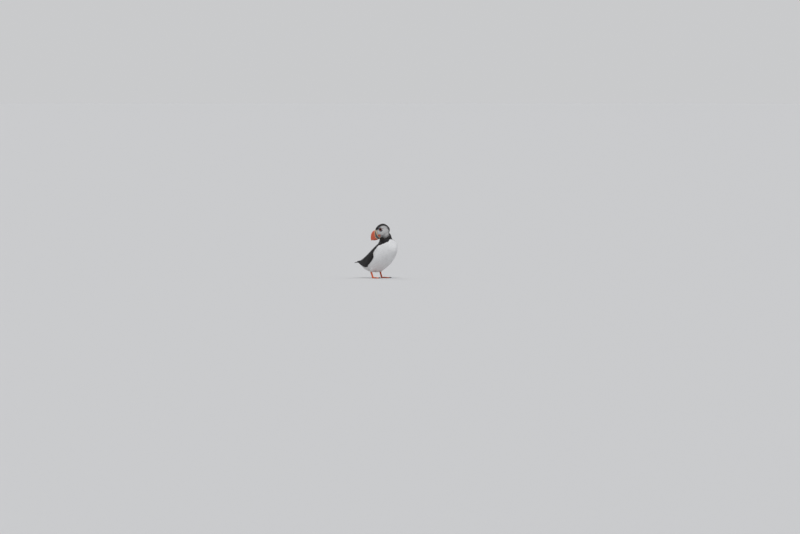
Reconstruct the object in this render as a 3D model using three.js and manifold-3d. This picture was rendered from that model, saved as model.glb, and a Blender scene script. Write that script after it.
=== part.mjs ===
// A standing Atlantic puffin that looks over its right shoulder, life size. Millimetres, +Z up.
// The bird faces -Y, so +X is its left side. The origin lies on the floor, under the middle of
// the bird's box.
import * as THREE from "three";
import { mergeVertices } from "three/addons/utils/BufferGeometryUtils.js";
import Module from "manifold-3d";

const wasm = await Module();
wasm.setup();

// ---- driving dimensions ----
const gap = 0.3; // between two pieces that touch
const trunkHalfWidth = 44.5;
const headPlace = { forward: 35, left: -14.5, up: 177.8 }; // the middle of the skull
const headYaw = -116; // degrees, turned to the right from straight ahead
const headPitch = 28; // degrees, bill down
const headHalfWidth = 21.5;
const eyeRadius = 5.4;
const eyeProud = 2.2; // how far the eyeball stands out of the face
const billHalfWidth = 7.2; // at the base
const mouthGap = 0.4; // between the two halves of the bill
const wingThickness = 4.2; // outside the body
const tailLength = 39;
const tailHalfWidth = 21;
const legSpread = 25.5; // each foot from the middle plane
const tarsus = { halfWidth: 2.6, halfDepth: 3.4 };
const collar = { front: [66, 151.5], back: [6, 128.5] }; // where the neck begins, forward and up
const webThickness = 1.1;
const toes = [
  { name: "inner", length: 27, turn: -24, radius: 1.9 },
  { name: "middle", length: 35, turn: 2, radius: 2.1 },
  { name: "outer", length: 33, turn: 26, radius: 2.0 },
];
const clawLength = 7.5;

const degrees = THREE.MathUtils.degToRad;
const place = (forward, left, up) => new THREE.Vector3(left, -forward, up);
const rail = (points) =>
  new THREE.SplineCurve(points.map(([forward, up]) => new THREE.Vector2(forward, up)));

// A smooth height over a row of places.
function profile(points) {
  const row = rail(points).getPoints(60);
  return (x) => {
    const after = THREE.MathUtils.clamp(row.findIndex((point) => point.x > x), 1, row.length - 1);
    const [a, b] = [row[after - 1], row[after]];
    return THREE.MathUtils.lerp(a.y, b.y, THREE.MathUtils.clamp((x - a.x) / (b.x - a.x), 0, 1));
  };
}

// ---- shaping ----

// A round closed skin whose rings run from one pole to the other. shape(t, angle) gives each point:
// t runs from 0 to 1 between the poles, and angle runs round the ring from the top, towards +X.
function skinned(around, along, shape) {
  const skin = new THREE.SphereGeometry(1, around, along);
  const position = skin.getAttribute("position");
  const point = new THREE.Vector3();
  for (let i = 0; i < position.count; i++) {
    point.fromBufferAttribute(position, i);
    const t = Math.acos(THREE.MathUtils.clamp(point.y, -1, 1)) / Math.PI;
    const atPole = t < 1e-4 || t > 1 - 1e-4;
    if (atPole) point.addVectors(shape(t, 0), shape(t, Math.PI)).multiplyScalar(0.5);
    else point.copy(shape(t, Math.atan2(point.x, point.z)));
    position.setXYZ(i, point.x, point.y, point.z);
  }
  return closed(skin);
}

// Shared vertices merged, and faces turned outwards.
function closed(geometry) {
  geometry.deleteAttribute("normal");
  geometry.deleteAttribute("uv");
  const merged = mergeVertices(geometry, 1e-3);
  const index = merged.index.array;
  const kept = [];
  for (let i = 0; i < index.length; i += 3) {
    const [a, b, c] = [index[i], index[i + 1], index[i + 2]];
    if (a !== b && b !== c && a !== c) kept.push(a, b, c);
  }
  merged.setIndex(kept);
  if (volumeOf(merged) < 0) {
    for (let i = 0; i < kept.length; i += 3) [kept[i], kept[i + 1]] = [kept[i + 1], kept[i]];
    merged.setIndex(kept);
  }
  return merged;
}

function volumeOf(geometry) {
  const position = geometry.getAttribute("position");
  const index = geometry.index.array;
  const [a, b, c] = [new THREE.Vector3(), new THREE.Vector3(), new THREE.Vector3()];
  let sum = 0;
  for (let i = 0; i < index.length; i += 3) {
    a.fromBufferAttribute(position, index[i]);
    b.fromBufferAttribute(position, index[i + 1]);
    c.fromBufferAttribute(position, index[i + 2]);
    sum += a.dot(b.cross(c)) / 6;
  }
  return sum;
}

// A body between an upper and a lower outline, both drawn in side view from one pole to the other.
// halfWidth(t) is its breadth, and breadthAt(height) can narrow a ring from 1 at its middle, by
// height -1 to 1.
function railBody({ upper, lower, halfWidth, around, along, breadthAt = () => 1 }) {
  return skinned(around, along, (t, angle) => {
    const top = upper.getPointAt(t);
    const bottom = lower.getPointAt(t);
    const height = Math.cos(angle);
    const middle = top.clone().add(bottom).multiplyScalar(0.5);
    const reach = top.clone().sub(bottom).multiplyScalar(0.5 * height);
    const left = halfWidth(t) * Math.sin(angle) * breadthAt(height);
    return place(middle.x + reach.x, left, middle.y + reach.y);
  });
}

// A tapering limb along a curve, with an oval section: radii(t) gives its half width and half depth.
function limb({ path, radii, around, along }) {
  const sideways = new THREE.Vector3(1, 0, 0);
  return skinned(around, along, (t, angle) => {
    const [wide, deep] = radii(t);
    const forwards = path.getTangentAt(t).cross(sideways).normalize();
    return path
      .getPointAt(t)
      .addScaledVector(sideways, wide * Math.sin(angle))
      .addScaledVector(forwards, deep * Math.cos(angle));
  });
}

// 0 at both ends and 1 between, with round ends of that share of the length.
function roundEnds(t, share) {
  const inside = Math.min(1, Math.min(t, 1 - t) / share);
  return Math.sqrt(Math.max(0, 1 - (1 - inside) ** 2));
}

const ovalBody = (x, y, z, around, along) =>
  closed(new THREE.SphereGeometry(1, around, along).scale(x, y, z));

// The same geometry, larger by a margin all over.
function grown(geometry, margin = gap) {
  const copy = geometry.clone();
  copy.computeVertexNormals();
  const position = copy.getAttribute("position");
  const normal = copy.getAttribute("normal");
  for (let i = 0; i < position.count; i++)
    position.setXYZ(
      i,
      position.getX(i) + margin * normal.getX(i),
      position.getY(i) + margin * normal.getY(i),
      position.getZ(i) + margin * normal.getZ(i),
    );
  copy.deleteAttribute("normal");
  return copy;
}

// ---- joining and cutting ----

const solidOf = (geometry) =>
  new wasm.Manifold(
    new wasm.Mesh({
      numProp: 3,
      vertProperties: Float32Array.from(geometry.getAttribute("position").array),
      triVerts: Uint32Array.from(geometry.index.array),
    }),
  );

// The largest body of a solid: slivers that a cut leaves are dropped.
function geometryOf(solid) {
  const pieces = solid.simplify(0.03).decompose().sort((a, b) => b.volume() - a.volume());
  const mesh = pieces[0].getMesh();
  return new THREE.BufferGeometry()
    .setAttribute("position", new THREE.BufferAttribute(mesh.vertProperties, 3))
    .setIndex(new THREE.BufferAttribute(mesh.triVerts, 1));
}

const joined = (geometries) =>
  geometryOf(geometries.map(solidOf).reduce((whole, piece) => whole.add(piece)));

const cutBy = (geometry, neighbours, margin = gap) =>
  geometryOf(
    neighbours.reduce(
      (rest, other) => rest.subtract(solidOf(grown(other, margin))),
      solidOf(geometry),
    ),
  );

// ---- trunk and neck ----

const trunkWhole = railBody({
  upper: rail([
    [-80, 52], [-75, 57], [-60, 69], [-25, 98], [10, 127], [36, 145], [58, 149], [72, 145], [78.5, 137],
  ]),
  lower: rail([
    [-80, 52], [-66, 40], [-44, 28.5], [-15, 23.5], [12, 25], [53, 50], [80, 82], [89, 110], [78.5, 137],
  ]),
  halfWidth: (t) => trunkHalfWidth * Math.sin(Math.PI * t ** 1.2) ** 0.58,
  around: 30,
  along: 20,
});

const neckPath = new THREE.CatmullRomCurve3([
  place(32, 0, 100),
  place(42, 1, 130),
  place(43.5, 0, 151),
  place(40.5, -6.5, 174),
]);
const neckWhole = limb({
  path: neckPath,
  radii: (t) => {
    const radius = (19.5 + 17.5 * (1 - t) ** 1.35) * roundEnds(t, 0.16);
    return [radius, radius];
  },
  around: 24,
  along: 11,
});

// ---- head: its own frame has the middle of the skull as origin, and it looks along -Y ----

const skull = railBody({
  upper: rail([[24, -1], [23, 8], [18.5, 17], [8, 23.5], [-6, 25.5], [-20, 20.5], [-29, 8], [-31, -3]]),
  lower: rail([
    [24, -1], [22.5, -10], [18, -18.5], [8, -24], [-6, -25], [-20, -20.5], [-28.5, -12], [-31, -3],
  ]),
  halfWidth: (t) => headHalfWidth * Math.sin(Math.PI * t ** 0.9) ** 0.62,
  breadthAt: (height) => 1 - 0.19 * height,
  around: 22,
  along: 15,
});

// The bill is a knife on edge: broad at the mouth line, narrow at the ridge.
const mouthLine = (forward) => -7.4 - 0.0028 * (forward - 18) ** 2;
const billBase = 13; // inside the face
const billTip = 54.3;
const billWidthAt = (forward) => {
  const t = THREE.MathUtils.clamp((forward - billBase) / (billTip - billBase), 0, 1);
  return billHalfWidth * Math.sqrt(Math.max(0, 1 - t ** 1.8));
};
const ridgeLine = rail([
  [billBase, 9], [20, 14.6], [28, 16.4], [37, 14], [45, 7.8], [51, -0.8], [53.8, -7.8], [54.3, -13.2],
]);
const keelLine = rail([[billBase, -18], [19, -21.4], [29, -21], [39, -18.8], [46, -15.6], [50, -12.8]]);

// One half of the bill, from the base to the tip: outline is its ridge or keel.
function billHalf(outline, upwards, along, tipForward) {
  const mouthEdge = (forward) => mouthLine(forward) + (upwards * mouthGap) / 2;
  return skinned(16, along, (t, angle) => {
    const end = t <= 0 || t >= 1;
    const height = end ? (1 - t) / 2 : (1 - Math.cos(angle)) / 2; // 0 at the ridge or keel, 1 at the mouth
    const outer = outline.getPointAt(t);
    const innerForward = THREE.MathUtils.lerp(billBase, tipForward, t);
    const forward = THREE.MathUtils.lerp(outer.x, innerForward, height);
    const up = THREE.MathUtils.lerp(outer.y, mouthEdge(innerForward), height);
    const fullness = Math.sin(Math.PI * Math.min(0.5, 0.14 + 0.62 * height));
    const side = end || Math.abs(Math.sin(angle)) < 1e-6 ? 0 : Math.sign(Math.sin(angle));
    return place(forward, side * fullness * billWidthAt(forward), up);
  });
}
const upperWhole = billHalf(ridgeLine, 1, 13, billTip - 1.2);
const lowerWhole = billHalf(keelLine, -1, 10, 49.4);

// Where a ray from inside the face, straight out to one side, meets the skull: a frame with its Z outwards.
function onFace(forward, up, side, turn = 0) {
  const mesh = new THREE.Mesh(skull, new THREE.MeshBasicMaterial({ side: THREE.DoubleSide }));
  mesh.updateMatrixWorld(true);
  const ray = new THREE.Raycaster(place(forward, 0, up), new THREE.Vector3(side, 0, 0));
  const hit = ray.intersectObject(mesh)[0];
  const out = hit.face.normal.clone();
  if (out.x * side < 0) out.negate();
  const ahead = place(1, 0, 0).addScaledVector(out, -place(1, 0, 0).dot(out)).normalize();
  const across = new THREE.Vector3().crossVectors(out, ahead);
  return new THREE.Matrix4()
    .makeBasis(ahead, across, out)
    .multiply(new THREE.Matrix4().makeRotationZ(degrees(turn * side)))
    .setPosition(hit.point);
}

const eyePlace = { forward: 8.4, up: 11.2 };
const sides = { left: 1, right: -1 };
const faceParts = {};
for (const [name, side] of Object.entries(sides)) {
  const socket = onFace(eyePlace.forward, eyePlace.up, side);
  const centre = new THREE.Vector3(0, 0, eyeProud - eyeRadius).applyMatrix4(socket);
  const eye = ovalBody(eyeRadius, eyeRadius, eyeRadius, 14, 9).translate(...centre);
  const brow = ovalBody(2.5, 3.4, 1.2, 10, 6)
    .translate(0, 0.2, -0.1)
    .applyMatrix4(onFace(eyePlace.forward - 0.6, eyePlace.up + 7.6, side, 8));
  const lower = ovalBody(5.2, 1.7, 1.2, 10, 6)
    .translate(0, 0, -0.1)
    .applyMatrix4(onFace(eyePlace.forward - 0.6, eyePlace.up - 8.0, side, -6));
  const corner = ovalBody(4.4, 5.0, 3.2, 12, 8)
    .translate(0, 0, 0.3)
    .applyMatrix4(onFace(20, mouthLine(20) - 0.4, side));
  faceParts[name] = { eye, brow, lower, corner };
}
const fleshy = Object.values(faceParts).map((part) => part.corner);
const embedded = Object.values(faceParts).flatMap((part) => Object.values(part));
const head = cutBy(skull, embedded);
const billUpper = cutBy(upperWhole, [skull, ...fleshy]);
const billLower = cutBy(lowerWhole, [skull, ...fleshy]);

const headGroup = new THREE.Group();
headGroup.position.copy(place(headPlace.forward, headPlace.left, headPlace.up));
headGroup.rotation.set(degrees(headPitch), 0, degrees(headYaw), "ZXY");
headGroup.updateMatrixWorld(true);
const inPlace = (geometry) => geometry.clone().applyMatrix4(headGroup.matrixWorld);

// Neck and trunk are one body, parted by the slanting plane of the collar.
const collarSlope = new THREE.Vector3()
  .subVectors(place(collar.front[0], 0, collar.front[1]), place(collar.back[0], 0, collar.back[1]))
  .cross(new THREE.Vector3(1, 0, 0))
  .normalize();
const collarHeight = collarSlope.dot(place(collar.front[0], 0, collar.front[1]));
const torso = solidOf(cutBy(joined([trunkWhole, neckWhole]), [inPlace(skull), inPlace(billLower)]));
const upwards = collarSlope.toArray();
const downwards = collarSlope.clone().negate().toArray();
const neck = geometryOf(torso.trimByPlane(upwards, collarHeight + gap / 2));
const trunk = geometryOf(torso.trimByPlane(downwards, gap / 2 - collarHeight));

// ---- wings ----

// How far out the side of a body is at a place forward and up: 0 outside its outline.
function sideOf(geometry, forward, up) {
  const mesh = new THREE.Mesh(geometry, new THREE.MeshBasicMaterial({ side: THREE.DoubleSide }));
  const ray = new THREE.Raycaster(place(forward, 100, up), new THREE.Vector3(-1, 0, 0));
  const hits = ray.intersectObject(mesh);
  return hits.length ? Math.max(0, hits[0].point.x) : 0;
}

// A folded wing lies close on the flank from the wrist to the tip, which reaches over the tail.
const wingTop = rail([
  [45, 127], [41, 134], [28, 132], [8, 117], [-22, 93], [-52, 73], [-76, 65], [-90, 61.5],
]);
const wingBottom = rail([
  [45, 127], [39, 113], [27, 96], [10, 73], [-8, 54], [-28, 44], [-52, 43], [-72, 50], [-90, 61.5],
]);
const rearBreadth = profile([[-92, 9], [-75, 14], [-50, 17], [-20, 12], [10, 0], [60, 0]]);
function wingPod(side) {
  return skinned(20, 18, (t, angle) => {
    const [high, low] = [wingTop.getPointAt(t), wingBottom.getPointAt(t)];
    const { x: forward, y: up } = low.lerp(high, (1 + Math.cos(angle)) / 2);
    const body = (sideOf(trunkWhole, forward, up) ** 4 + rearBreadth(forward) ** 4) ** 0.25;
    const outside = Math.sin(angle) * side;
    const depth = outside > 0 ? wingThickness * (1 - 0.35 * t) : 1 + 6 * (1 - t);
    const fullness = Math.sign(outside) * Math.abs(outside) ** 0.6 * roundEnds(t, 0.16);
    return place(forward, side * (body + depth * fullness), up);
  });
}
const wings = {};
for (const [name, side] of Object.entries(sides))
  wings[name] = cutBy(wingPod(side), [trunkWhole, neckWhole]);

// ---- tail: a short fan under the wing tips ----

const tailRoot = { forward: -62, up: 60.5 };
const tailWhole = skinned(18, 10, (t, angle) => {
  const spread = tailHalfWidth * (0.6 + 0.4 * t) * roundEnds(t, 0.3);
  const thick = (3 - 2.2 * t) * roundEnds(t, 0.1) + 0.35;
  const across = spread * Math.sin(angle);
  const arch = -0.006 * across ** 2;
  const back = tailLength * t * (1 - 0.0003 * across ** 2);
  const up = tailRoot.up - 0.04 * back + arch + thick * Math.cos(angle);
  return place(tailRoot.forward - back, across, up);
});
const tail = cutBy(tailWhole, [trunkWhole, wings.left, wings.right]);

// ---- legs ----

const stance = {
  left: { ankle: [-6, 26], foot: [1.5, 4.5], turn: 6 },
  right: { ankle: [-9, 25.5], foot: [1.5, 4.5], turn: -8 },
};
const floorBlock = closed(new THREE.BoxGeometry(400, 400, 40).translate(0, 0, -20));

// Toes, web and claws, built round the ball of the foot at the origin with the toes along -Y.
function footOf(turn, side) {
  const ball = limb({
    path: new THREE.LineCurve3(place(-3.4, 0, 2.6), place(3.4, 0, 3)),
    radii: (t) => [4.2 * roundEnds(t, 0.5), 2.9 * roundEnds(t, 0.5)],
    around: 10,
    along: 5,
  });
  const tips = toes.map((toe) => {
    const heading = degrees(side * toe.turn);
    return new THREE.Vector2(Math.sin(heading) * toe.length, -Math.cos(heading) * toe.length);
  });
  const digits = toes.map((toe, i) => {
    const tip = new THREE.Vector3(tips[i].x, tips[i].y, toe.radius * 0.62);
    const path = new THREE.QuadraticBezierCurve3(
      new THREE.Vector3(0, 0, 2.6),
      new THREE.Vector3(tip.x * 0.5, tip.y * 0.5, toe.radius * 1.25),
      tip,
    );
    const radii = (t) => Array(2).fill(toe.radius * (1.12 - 0.3 * t) * roundEnds(t, 0.1));
    return limb({ path, radii, around: 7, along: 6 });
  });
  const claws = tips.map((tip) => {
    const ahead = tip.clone().normalize();
    const root = tip.clone().addScaledVector(ahead, -1.8);
    const end = tip.clone().addScaledVector(ahead, clawLength - 1.8);
    const path = new THREE.QuadraticBezierCurve3(
      new THREE.Vector3(root.x, root.y, 1.7),
      new THREE.Vector3((root.x + end.x) / 2, (root.y + end.y) / 2, 3.6),
      new THREE.Vector3(end.x, end.y, 0.5),
    );
    const radii = (t) => [1.25, 1.35].map((radius) => radius * (1 - 0.7 * t) * roundEnds(t, 0.1));
    return limb({ path, radii, around: 6, along: 5 });
  });
  const outline = new THREE.Shape();
  outline.moveTo(-side * 2, 2);
  outline.lineTo(tips[0].x, tips[0].y);
  for (const [from, to] of [[tips[0], tips[1]], [tips[1], tips[2]]]) {
    const middle = from.clone().add(to).multiplyScalar(0.5 * 0.9);
    outline.quadraticCurveTo(middle.x, middle.y, to.x, to.y);
  }
  outline.lineTo(side * 2, 2);
  const web = closed(
    new THREE.ExtrudeGeometry(outline, { depth: webThickness, bevelEnabled: false, curveSegments: 4 }),
  );
  const whole = joined([ball, ...digits, ...claws, web]);
  return cutBy(whole, [floorBlock], 0).rotateZ(degrees(turn));
}

const legParts = {};
for (const [name, side] of Object.entries(sides)) {
  const { ankle, foot, turn } = stance[name];
  const left = side * legSpread;
  const toesAndWeb = footOf(turn, side).translate(...place(foot[0], left, 0));
  const shank = limb({
    path: new THREE.CatmullRomCurve3([
      place(ankle[0] - 1.5, left - side, ankle[1] + 5),
      place(ankle[0], left - side, ankle[1]),
      place((ankle[0] + foot[0]) / 2 - 0.4, left - side * 0.5, (ankle[1] + foot[1]) / 2),
      place(foot[0] - 0.5, left, foot[1] - 1),
    ]),
    radii: (t) => {
      const heel = 0.28 * Math.exp(-(((t - 0.2) / 0.12) ** 2));
      const joint = 0.22 * Math.exp(-(((t - 1) / 0.14) ** 2));
      const size = (1 + heel + joint) * roundEnds(t, 0.08);
      return [tarsus.halfWidth * size, tarsus.halfDepth * size];
    },
    around: 10,
    along: 10,
  });
  const thighWhole = limb({
    path: new THREE.CatmullRomCurve3([
      place(8, left * 0.78, 56),
      place(0, left * 0.93, 39),
      place(ankle[0], left - side, ankle[1] - 1.5),
    ]),
    radii: (t) => {
      const size = (5.4 + 13.5 * (1 - t) ** 1.15) * roundEnds(t, 0.12);
      return [size * 0.86, size];
    },
    around: 16,
    along: 11,
  });
  const thigh = cutBy(thighWhole, [trunkWhole, wings[name]]);
  const leg = cutBy(shank, [thigh, toesAndWeb, trunkWhole]);
  legParts[name] = { thigh, leg, foot: toesAndWeb };
}

// ---- the model ----

const finishes = {
  white: { color: 0xe4e6e6, roughness: 0.85 },
  black: { color: 0x17171a, roughness: 0.75 },
  face: { color: 0xb4b4b6, roughness: 0.85 },
  billHorn: { color: 0xc04a30, roughness: 0.4 },
  plateHorn: { color: 0x545c68, roughness: 0.5 },
  fleshYellow: { color: 0xd98b3e, roughness: 0.6 },
  eyeDark: { color: 0x120c0a, roughness: 0.08 },
  legSkin: { color: 0xcf4a22, roughness: 0.5 },
};
const materialOf = (look) => new THREE.MeshStandardMaterial({ ...look, metalness: 0 });
const materials = Object.fromEntries(
  Object.entries(finishes).map(([name, look]) => [name, materialOf(look)]),
);

const puffin = new THREE.Group();
function add(group, name, geometry, finish) {
  const mesh = new THREE.Mesh(geometry, materials[finish]);
  mesh.name = name;
  group.add(mesh);
}

add(puffin, "trunk", trunk, "white");
add(puffin, "neck", neck, "black");
add(puffin, "tail", tail, "black");
add(headGroup, "head", head, "face");
add(headGroup, "bill_upper", billUpper, "billHorn");
add(headGroup, "bill_lower", billLower, "billHorn");
for (const name of Object.keys(sides)) {
  add(headGroup, `eye_${name}`, faceParts[name].eye, "eyeDark");
  add(headGroup, `brow_plate_${name}`, faceParts[name].brow, "plateHorn");
  add(headGroup, `lower_plate_${name}`, faceParts[name].lower, "plateHorn");
  add(headGroup, `mouth_corner_${name}`, faceParts[name].corner, "fleshYellow");
  add(puffin, `wing_${name}`, wings[name], "black");
  add(puffin, `thigh_${name}`, legParts[name].thigh, "white");
  add(puffin, `leg_${name}`, legParts[name].leg, "legSkin");
  add(puffin, `foot_${name}`, legParts[name].foot, "legSkin");
}
puffin.add(headGroup);

// The origin goes under the middle of the box.
puffin.updateMatrixWorld(true);
const box = new THREE.Box3().setFromObject(puffin, true);
const middle = box.getCenter(new THREE.Vector3());
puffin.position.set(-middle.x, -middle.y, -box.min.z);

export default puffin;
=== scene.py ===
import math

import bmesh
import bpy
import numpy as np
from mathutils import Matrix, Vector
from mathutils.bvhtree import BVHTree


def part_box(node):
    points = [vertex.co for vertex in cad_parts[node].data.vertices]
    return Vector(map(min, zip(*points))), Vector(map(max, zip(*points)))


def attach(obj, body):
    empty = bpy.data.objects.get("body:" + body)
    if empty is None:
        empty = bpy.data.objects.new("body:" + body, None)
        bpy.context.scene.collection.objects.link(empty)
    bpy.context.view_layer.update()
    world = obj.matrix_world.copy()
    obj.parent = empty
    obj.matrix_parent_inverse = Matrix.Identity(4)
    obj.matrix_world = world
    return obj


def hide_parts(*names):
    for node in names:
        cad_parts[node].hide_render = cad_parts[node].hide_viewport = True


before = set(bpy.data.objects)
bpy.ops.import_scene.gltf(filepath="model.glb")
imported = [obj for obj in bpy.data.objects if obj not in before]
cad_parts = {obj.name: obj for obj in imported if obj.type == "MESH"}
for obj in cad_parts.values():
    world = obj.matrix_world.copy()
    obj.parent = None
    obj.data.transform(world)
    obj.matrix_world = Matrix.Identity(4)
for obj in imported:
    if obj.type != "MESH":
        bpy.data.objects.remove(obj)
bpy.context.view_layer.update()

# The bird's own measures are millimetres: forward, left and up from between its feet,
# and in the head the same from the middle of the skull.
bodySettings = {
    "rearEnd": -80.0,  # how far forward the trunk's rear end lies
    "headYaw": -116.0,  # degrees, as the head node is turned
    "headPitch": 28.0,
    "eyeForward": 7.79,  # from the middle of the skull to the line through both eyes
    "eyeUp": 9.73,
    "skullCentre": (-3, 0, 0),  # from here the head's plumage is measured
}


def middleOf(node):
    low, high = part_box(node)
    return np.array((low + high) / 2)


sides = (("left", 1), ("right", -1))
trunkLow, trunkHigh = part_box("trunk")
midPlane = (trunkLow.x + trunkHigh.x) / 2


def toBody(points):
    points = np.atleast_2d(points)
    forward = (trunkHigh.y - points[:, 1]) * 1000 + bodySettings["rearEnd"]
    return np.column_stack([forward, (points[:, 0] - midPlane) * 1000, points[:, 2] * 1000])


def fromBody(points):
    points = np.atleast_2d(np.asarray(points, float))
    back = trunkHigh.y - (points[:, 0] - bodySettings["rearEnd"]) / 1000
    return np.column_stack([midPlane + points[:, 1] / 1000, back, points[:, 2] / 1000])


headTurn = Matrix.Rotation(math.radians(bodySettings["headYaw"]), 3, "Z") @ Matrix.Rotation(
    math.radians(bodySettings["headPitch"]), 3, "X"
)
headAxes = np.array([headTurn @ Vector(axis) for axis in ((0, -1, 0), (1, 0, 0), (0, 0, 1))])
betweenEyes = (middleOf("eye_left") + middleOf("eye_right")) / 2
eyeOffset = np.array([bodySettings["eyeForward"], 0, bodySettings["eyeUp"]])
headMiddle = betweenEyes - eyeOffset / 1000 @ headAxes


def toHead(points):
    return (np.atleast_2d(points) - headMiddle) @ headAxes.T * 1000


def fromHead(points):
    return np.atleast_2d(np.asarray(points, float)) / 1000 @ headAxes + headMiddle


def fromSkull(head):
    return np.linalg.norm(head - bodySettings["skullCentre"], axis=1)


def smoothStep(low, high, value):
    t = np.clip((value - low) / (high - low), 0, 1)
    return t * t * (3 - 2 * t)


def curveThrough(points, count=60):
    # a smooth line through a few points, evenly spaced along its length
    points = np.asarray(points, float)
    ends = np.vstack([2 * points[0] - points[1], points, 2 * points[-1] - points[-2]])
    rows = []
    for i in range(1, len(ends) - 2):
        lastStretch = i == len(ends) - 3
        t = np.linspace(0, 1, 24, endpoint=lastStretch)[:, None]
        a, b, c, d = ends[i - 1 : i + 3]
        square, cube = 2 * a - 5 * b + 4 * c - d, 3 * b - 3 * c + d - a
        rows.append(0.5 * (2 * b + (c - a) * t + square * t**2 + cube * t**3))
    line = np.vstack(rows)
    length = np.concatenate([[0], np.cumsum(np.linalg.norm(np.diff(line, axis=0), axis=1))])
    even = np.linspace(0, length[-1], count)
    return np.column_stack([np.interp(even, length, line[:, k]) for k in range(line.shape[1])])


def sideOfLine(points, line):
    # signed distance in the plane to a line: positive on its left as one walks along it
    best = np.full(len(points), 1e9)
    signed = np.zeros(len(points))
    for a, b in zip(line[:-1], line[1:]):
        along = b - a
        t = np.clip(((points - a) @ along) / (along @ along), 0, 1)
        away = points - (a + t[:, None] * along)
        distance = np.linalg.norm(away, axis=1)
        side = np.sign(along[0] * (points[:, 1] - a[1]) - along[1] * (points[:, 0] - a[0]))
        closer = distance < best - 1e-9
        best[closer] = distance[closer]
        signed[closer] = (side * distance)[closer]
    return signed


def unit(vectors):
    return vectors / np.maximum(np.linalg.norm(vectors, axis=-1, keepdims=True), 1e-12)


def linked(name, mesh):
    piece = bpy.data.objects.new(name, mesh)
    bpy.context.scene.collection.objects.link(piece)
    return piece


def newPiece(name, vertices, faces):
    mesh = bpy.data.meshes.new(name)
    mesh.from_pydata([tuple(map(float, v)) for v in vertices], [], faces)
    mesh.validate()
    mesh.shade_smooth()
    return linked(name, mesh)


def storeValues(mesh, name, values, kind="FLOAT", domain="POINT"):
    attribute = mesh.attributes.get(name) or mesh.attributes.new(name, kind, domain)
    field = "vector" if kind in ("FLOAT_VECTOR", "FLOAT2") else "value"
    attribute.data.foreach_set(field, np.asarray(values, np.float32).ravel())


def placesOf(mesh):
    places = np.zeros(len(mesh.vertices) * 3, np.float32)
    mesh.vertices.foreach_get("co", places)
    return places.reshape(-1, 3).astype(float)


def normalsOf(mesh):
    normals = np.zeros(len(mesh.vertices) * 3, np.float32)
    mesh.vertices.foreach_get("normal", normals)
    return normals.reshape(-1, 3).astype(float)


def edgesOf(mesh):
    edges = np.zeros(len(mesh.edges) * 2, np.int32)
    mesh.edges.foreach_get("vertices", edges)
    return edges.reshape(-1, 2)


def movedTo(mesh, places):
    mesh.vertices.foreach_set("co", np.asarray(places, np.float32).ravel())
    mesh.update()


def averaged(values, edges, steps, share=0.5, stays=None):
    # each value moves towards the mean of its neighbours
    count = np.maximum(np.bincount(edges.ravel(), minlength=len(values)), 1)
    weight = share if stays is None else share * (1 - stays)[:, None]
    for _ in range(steps):
        total = np.column_stack(
            [
                np.bincount(edges[:, 0], column[edges[:, 1]], len(values))
                + np.bincount(edges[:, 1], column[edges[:, 0]], len(values))
                for column in values.T
            ]
        )
        values = values + weight * (total / count[:, None] - values)
    return values


def evaluated(piece):
    # the piece as a plain mesh with its modifiers used
    graph = bpy.context.evaluated_depsgraph_get()
    graph.update()
    return bpy.data.meshes.new_from_object(piece.evaluated_get(graph))


def applied(piece):
    mesh = evaluated(piece)
    piece.modifiers.clear()
    old = piece.data
    piece.data = mesh
    bpy.data.meshes.remove(old)
    return piece


# the skin: one closed surface for the flesh, from the CAD's own solids
skinSettings = {
    "flesh": ["trunk", "neck", "head", "thigh_left", "thigh_right", "wing_left", "wing_right"],
    "voxel": 0.00135,
    "swell": 0.00035,  # closes the thin cuts between the solids
    "smoothing": 34,
    "fineReach": 29,  # the skin of the face is finer, as far as this from inside the skull
    "fineFrom": -21,
    "headDepth": 0.9,  # how far the skin lies inside the solids, in millimetres
    "bodyExtra": 0.7,
    "billLess": 0.45,
    "ankleDepth": 0.35,
    "thighExtra": 1.2,
    "legVoxel": 0.00045,
    "legSwell": 0.0006,
    "shankPitch": 2.1,  # of the plates down the shank and along the toes
    "toePitch": 1.9,
}


def joinedNodes(name, nodes, swell):
    shape = bmesh.new()
    for node in nodes:
        part = bmesh.new()
        part.from_mesh(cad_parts[node].data)
        bmesh.ops.remove_doubles(part, verts=part.verts, dist=2e-6)
        part.normal_update()
        for vertex in part.verts:
            vertex.co += vertex.normal * swell
        loose = bpy.data.meshes.new(node + "Copy")
        part.to_mesh(loose)
        part.free()
        shape.from_mesh(loose)
        bpy.data.meshes.remove(loose)
    mesh = bpy.data.meshes.new(name)
    shape.to_mesh(mesh)
    shape.free()
    return linked(name, mesh)


def remeshed(piece, voxel):
    modifier = piece.modifiers.new("remesh", "REMESH")
    modifier.mode = "VOXEL"
    modifier.voxel_size = voxel
    return applied(piece)


def facets(mesh):
    mesh.calc_loop_triangles()
    corners = np.zeros(len(mesh.loop_triangles) * 3, np.int32)
    mesh.loop_triangles.foreach_get("vertices", corners)
    return corners.reshape(-1, 3)


def surfaceOf(mesh):
    return BVHTree.FromPolygons([Vector(v) for v in placesOf(mesh)], facets(mesh).tolist())


def alongToe(places, ball, ahead):
    # how far a place lies along a toe's line and away from it, in millimetres
    reach = (places - ball) @ ahead
    away = np.linalg.norm((places - ball)[:, :2] - np.outer(reach, ahead[:2]), axis=1)
    return reach * 1000, away * 1000


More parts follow.
